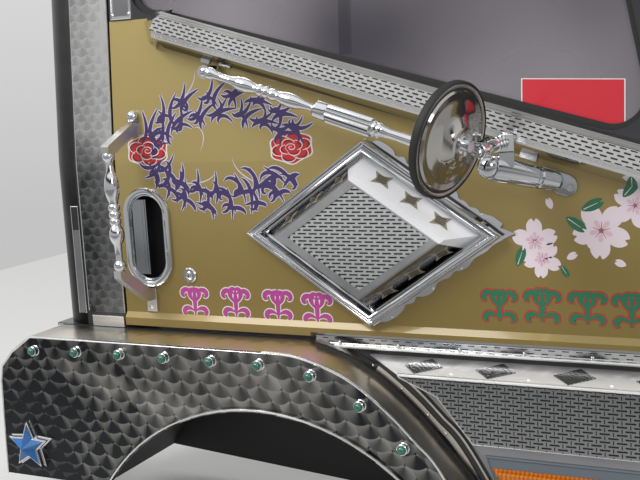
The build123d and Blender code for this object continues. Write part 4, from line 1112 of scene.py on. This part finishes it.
holed = [perforated(part, 27.0, 6.8, 17.0, 2.9, 1.8, anchor=(476, -280)) for part in (
    [(195, -219), (262.5, -247.5), (STEP_END, -247.5), (STEP_END, -219)],
    [(262.5, -247.5), (323, -326), (STEP_END, -326), (STEP_END, -247.5)])]
riser = all_placed(holed, (0, ARCH_FACE, 0))
for points, thick, round_by, finish, inboard in (
        ([(191, -217), (261, -247), (335, -343), (760, -343), (760, -217)], 1.2, 0.0, 1, 3.0),
        ([(325, -328), (336, -342.5), (STEP_END, -342.5), (STEP_END, -328)], 1.4, 0.4, 2, 1.4)):
    riser.append(placed(plate(points, thick, round_by, finish), (0, ARCH_FACE + inboard, 0)))
riser += [tube([(x, ARCH_FACE, z) for x, z in line], radius, 3) for line, radius in (
    ([(193, -218.5), (261.5, -247.6), (324, -327)], 1.3), ([(324, -327), (STEP_END, -327)], 0.9))]
finished("slotted_riser", riser, [riser_steel, shadow, plain, bead_steel], "step_riser", "cab_side",
         outward=False)

# Bumper side with a rolled seam, and the ribbed side lamp in its chamfered frame
rib = plate(oblong(-2.2, -26, 2.2, 26), 1.6, 0.7)
ribs = grown(IN_LINE, placed(rib, (0, 0, 0)), {
    "Start": (408.0, ARCH_FACE - 7.6, -399.0), "Step": (12.0, 0.0, 0.0), "Count": 12, "Finish": amber})
finished("ribbed_side_lamp", [
    placed(plate([(354, -364), (554, -364), (554, -434), (394, -434)], 20.0, 2.0), (0, ARCH_FACE + 20, 0)),
    placed(plate([(366, -370), (548, -370), (548, -428), (399, -428)], 8.0, 3.5), (0, ARCH_FACE, 0)),
    ribs], [amber], "side_lamp", "cab_side")
seam = [tube([(347, ARCH_FACE - 0.5, -346), (STEP_END, ARCH_FACE - 0.5, -346)], 1.6),
        tube([(346.5, ARCH_FACE - 0.4, -346), (403, ARCH_FACE - 0.4, -517)], 1.4)]
seam += [dome((x, ARCH_FACE, z), 6.5, 3.5)
         for x, z in ((600, -372), (700, -372), (600, -480), (700, -480), (440, -500))]
finished("bumper_seam_and_bolts", seam, [grey], body="cab_side")

# Bright edges of the pillar trim, the narrow strip in the dark corner with its upper end painted as shade, and
# the foot block's fold
edges = [tube([(x, 0.2, -160), (x, 0.2, LEAN_START), (x, 0.2 + 950 * tan(LEAN), LEAN_START + 950)], radius)
         for x, radius in ((-461.5, 1.3), (-553.5, 1.0))]
edges += [tube([(-538, -8.3, -168), (-461, -8.3, -168)], 1.2),
          placed(plate(oblong(-578, -166, -562, 12), 3.0, 1.0, 1), (0, 3.0, 0)),
          placed(plate(oblong(-580, 12, -560, 62), 3.0, 1.0, 2), (0, 3.0, 0)),
          tube([(-579, 0.6, -166), (-579, 0.6, 62), (-561, 0.6, 62), (-561, 0.6, -166)], 1.2)]
finished("pillar_edges", edges, [bead_steel, plain, shadow], body="cab_side")


# Painted ornaments: thin films of paint that follow the door's skin
def swirl(x, z, size, turn, curl, widest, extra=0.0, finish=0):
    """A tapering stroke that starts straight and rolls up at its end."""
    points, widths = [], []
    place, heading = Vector((x, z, 0)), turn
    count = 22
    for i in range(count + 1):
        share = i / count
        points.append(place.copy())
        widths.append(widest * max(0.08, sin(pi * min(1.0, share * 0.9 + 0.06))) + extra)
        heading += curl * (0.35 + 1.9 * share) / count
        place += polar(size / count * (1.25 - share * 0.8), heading)
    return ribbon(points, widths, finish)


def arc_stroke(begin, sweep, start, bulge, end, width, finish=0):
    """A curved stroke about a rose's heart, from one distance out to another, bulging between."""
    points, widths = [], []
    for share in (i / 14 for i in range(15)):
        point = polar(start + (end - start) * share + bulge * sin(pi * share), begin + sweep * share)
        points.append(Vector((point.x * ROSE_SHAPE[0], point.y * ROSE_SHAPE[1], 0)))
        widths.append(width * (0.35 + 0.65 * sin(pi * min(1.0, share * 0.9 + 0.05))))
    return ribbon(points, widths, finish)


def vein(start, end, widths, finish):
    return ribbon([Vector((start, 0, 0)), Vector((end, 0, 0))], widths, finish)


def petal(long, wide, lift=0.0, finish=0, notch=0.0):
    half = [(long * 0.35, wide * 0.42), (long * 0.8, wide * 0.46), (long * (1 + notch), wide * 0.16)]
    corners = [(0, 0)] + half + [(long * (1 - notch), 0)] + [(x, -y) for x, y in reversed(half)]
    return flat([(x + lift, y) for x, y in smooth_line(corners, 3, True)], finish)


def on_skin(shape, proud):
    """Lay a flat shape on the door, upright below and leaning above."""
    for vert in shape.verts:
        x, z = vert.co.x, vert.co.y
        vert.co = Vector((x, max(0.0, z - LEAN_START) * tan(LEAN) - proud, z))
    return shape


def film(shape, x, z, grow, turn, proud):
    """Place a flat motif on the door, grown and turned."""
    where = Matrix.Translation((x, z, 0)) @ Matrix.Rotation(radians(turn), 4, "Z") @ Matrix.Scale(grow, 4)
    bmesh.ops.transform(shape, matrix=where, verts=shape.verts)
    return on_skin(shape, proud)


def painted(name, films, materials):
    finished(name, films, materials, outward=False)


# Roses: a white ground, a red flower on it, and lines between the petals, round a rolled heart. A row is how
# many strokes, the first one's angle, their sweep, start, bulge, end, width and finish, and how high they are.
ROSE_SHAPE = (1.08, 0.71)
rose_rows = ((6, 0, 74, 25, 15, 29, 2.1, 0, 0.50, 0.01), (6, 14, 46, 31, 6, 34, 4.6, 2, 0.44, 0.005),
             (4, 20, 105, 14, 8, 19, 1.9, 0, 0.60, 0.01), (4, 45, 50, 17, 3, 19, 4.2, 2, 0.55, 0.005),
             (1, 0, 560, 2, 0, 13, 1.8, 0, 0.68, 0))
films = []
for x, z, size, turn in ((-374, 175, 1.0, 0), (-50, 175, 0.94, 40)):
    for grow, finish, proud in ((1.0, 0, 0.25), (0.93, 1, 0.40)):
        rim = [polar(grow * (1.0 if k % 2 else 0.88), 30 * k) for k in range(12)]
        ground = smooth_line([(53 * point.x, 35 * point.y) for point in rim], 4, True)
        films.append(film(flat(ground, finish), x, z, size, turn * 0.1, proud))
    for count, first, sweep, start, bulge, end, width, finish, proud, step in rose_rows:
        for k in range(count):
            stroke = arc_stroke(turn + 360 / count * k + first, sweep, start, bulge, end, width, finish)
            films.append(film(stroke, x, z, size, 0, proud + step * k))
painted("painted_roses", films, [white, red, deep_red])

# A wreath of flourishes between the roses, each with a pale edge. Their spread comes from their numbers.
FLOURISHES = ((12, 66, 70), (78, 72, -95), (-66, 62, 120), (128, 48, -160))
films = []
clusters = [(160 - k * 9.2, 172 + (-14, 12)[k % 2], 106 + (-20, 15)[k % 2], 1) for k in range(16)]
clusters += [(200 + k * 9.8, 150 + (10, -14)[k % 2], 82 + (12, -18)[k % 2], -1) for k in range(15)]
for index, (angle, wide, high, side) in enumerate(clusters):
    around = polar(1, angle)
    middle = Vector((-203 + wide * around.x, 162 + high * around.y, 0))
    tangent = degrees(atan2(high * around.x, -wide * around.y))
    for stroke, (aside, reach, bend) in enumerate(FLOURISHES):
        seed = (index * 37 + stroke * 53) % 29 / 29
        other = (index * 61 + stroke * 23) % 31 / 31
        heading = tangent + aside + 34 * (seed - 0.5)
        long = reach * (0.8 + 0.5 * other)
        start = middle - polar(long * 0.42, heading) + Vector((seed - 0.5, other - 0.5, 0)) * 16
        curl = bend * side * (0.7 + 0.7 * seed)
        proud = (index * 4 + stroke) * 0.003
        for extra, finish, level in ((3.2, 1, 0.20), (0.0, 0, 0.55)):
            flourish = swirl(start.x, start.y, long, heading, curl, 8.6 - stroke * 0.7, extra, finish)
            films.append(on_skin(flourish, level + proud))
for index, (x, z, turn, long, curl) in enumerate(((-345, 245, 20, 150, 60), (-120, 262, 200, 120, -50),
                                                  (-330, 118, -15, 140, 55), (-90, 100, 170, 130, -60),
                                                  (-250, 172, 60, 70, 120))):
    films.append(on_skin(swirl(x, z, long, turn, curl, 2.2, 0, 1), 0.16 + index * 0.005))
painted("painted_wreath", films, [purple, lilac])

CREST = 58


def crest(x, z, odd):
    """A small symmetrical ornament of scrolls about an upright stem, with an edge in the second finish."""
    made = []
    for extra, finish, proud in ((4.2, 1, 0.25), (0.0, 0, 0.5)):
        stem = [Vector((x, z + CREST * share, 0)) for share in (-0.5, -0.2, 0.1, 0.5)]
        made.append(on_skin(ribbon(stem, [width + extra for width in (3, 9, 10, 3)], finish), proud))
        for side in (-1, 1):
            scrolls = ((0.28, 0.85, 200), (-0.02, 0.74 + 0.1 * odd, -175), (-0.36, 0.78, 205))
            for step, (level, long, curl) in enumerate(scrolls):
                scroll = swirl(x + side * 2, z + CREST * level, CREST * long, 90 - side * 50, -side * curl,
                               10.5, extra, finish)
                made.append(on_skin(scroll, proud + 0.02 + step * 0.01 + (side + 1) * 0.004))
    return made


rear_row = ((-287, -128), (-192, -127), (-98, -127), (-14, -131))
front_row = ((342, -110), (418, -108), (495, -108), (568, -110), (640, -110))
for name, row, materials in (("painted_crests_rear", rear_row, [magenta, white]),
                             ("painted_crests_front", front_row, [leaf_green, red])):
    painted(name, [shape for k, (x, z) in enumerate(row) for shape in crest(x, z, k % 2)], materials)

# Blossom sprays at the front of the door: blossoms, then leaves, then loose petals
films = []
for x, z, size, turn in ((420, -26, 0.80, 48), (408, 4, 0.95, 20), (520, 24, 1.15, 50), (575, 66, 0.9, 0),
                         (640, 20, 1.0, 30), (655, 90, 0.8, 10)):
    for k in range(5):
        angle = turn + 72 * k
        films += [film(petal(36, 30, 3.0, 0, 0.08), x, z, size, angle, 0.3 + 0.01 * k),
                  film(petal(14, 7, 3.0, 1), x, z, size, angle, 0.5),
                  film(vein(2, 13, [1.2, 0.8], 3), x, z, size, angle + 36, 0.6)]
for x, z, angle, size in ((462, 46, -35, 1.0), (488, 58, 25, 1.0), (376, -40, 70, 0.9), (556, 80, 50, 1.0),
                          (598, 34, -20, 0.9), (452, -36, -60, 0.6), (610, -20, 15, 0.8)):
    films += [film(petal(36, 19, 0, 2, 0.10), x, z, size, angle, 0.35),
              film(vein(4, 30, [1.6, 0.6], 4), x, z, size, angle, 0.55)]
films += [film(petal(20, 14, 0, 0, 0.1), x, z, 0.9, angle, 0.3)
          for x, z, angle in ((462, -25, 30), (560, -34, 160), (500, -6, 80), (438, 60, 110))]
painted("painted_blossoms", films, [pink_pale, pink, leaf_green, magenta, white])

# Window: a folded plate at the rear corner with a bead and two bolts, and a blank plate behind the glass
fold = [plate(oblong(-25, 0, 25, 82), 2.0, 0.5), plate(oblong(-19, 7, 19, 76), 2.6, 0.5, 1),
        tube([(x, y, 2.2) for x, y in oblong(-24, 1, 24, 81)], 1.8, 0, True)]
fold = all_placed(fold, lean_place(-424, 437), ALONG, LEAN_OUT)
fold += [dome(lean_place(-404, 446, 2.4), 5.0, 3.5), dome(lean_place(-444, 446, 2.4), 4.0, 2.6)]
finished("folded_corner_plate", fold, [chrome, plain], "corner_plate")
sign_outline = [(-86, 46.5), (87, 37.5), (87, -49), (-86, -11)]
inner_sign = [(x * 0.975, y * 0.955 + 0.4) for x, y in sign_outline]
sign = [plate(sign_outline, 1.6, 0.3, 1), plate(inner_sign, 2.0, 0.3)]
finished("blank_plate_on_glass", all_placed(sign, lean_place(472, 235, -12.4), ALONG, LEAN_OUT),
         [sign_red, white])

# Between the arch's front run and the step: a dark closing plate with two bright strips along the arch
run = [p for p in front_run if p.x > 60]
closing_outline = [tuple(p) for p in run] + [(420, -556), (420, -222), (120, -222)]
closing = [placed(plate(closing_outline, 1.5), (0, -35.0, 0))]
for aside, wide, high, finish in ((13, 11, 2.0, 1), (32, 4, 2.6, 1), (46, 12, 1.6, 2)):
    points = []
    for p, before, after in zip(run, run[:1] + run, run[1:] + run[-1:]):
        along_run = (after - before).normalized()
        points.append(Vector((p.x - along_run.y * aside, p.y + along_run.x * aside, 0)))
    points = [p for p in points if p.y < -224]
    closing.append(placed(ribbon(points, [wide] * len(points), finish), (0, -36.5 - high, 0)))
for share in (0.12, 0.3, 0.48, 0.66):
    p = run[int(share * len(run))]
    closing.append(dome((p.x + 9, -38.4, p.y + 9), 2.6, 1.8, finish=1))
finished("arch_closing_plate", closing, [dark, strap_steel, plain], body="cab_side",
         outward=False)
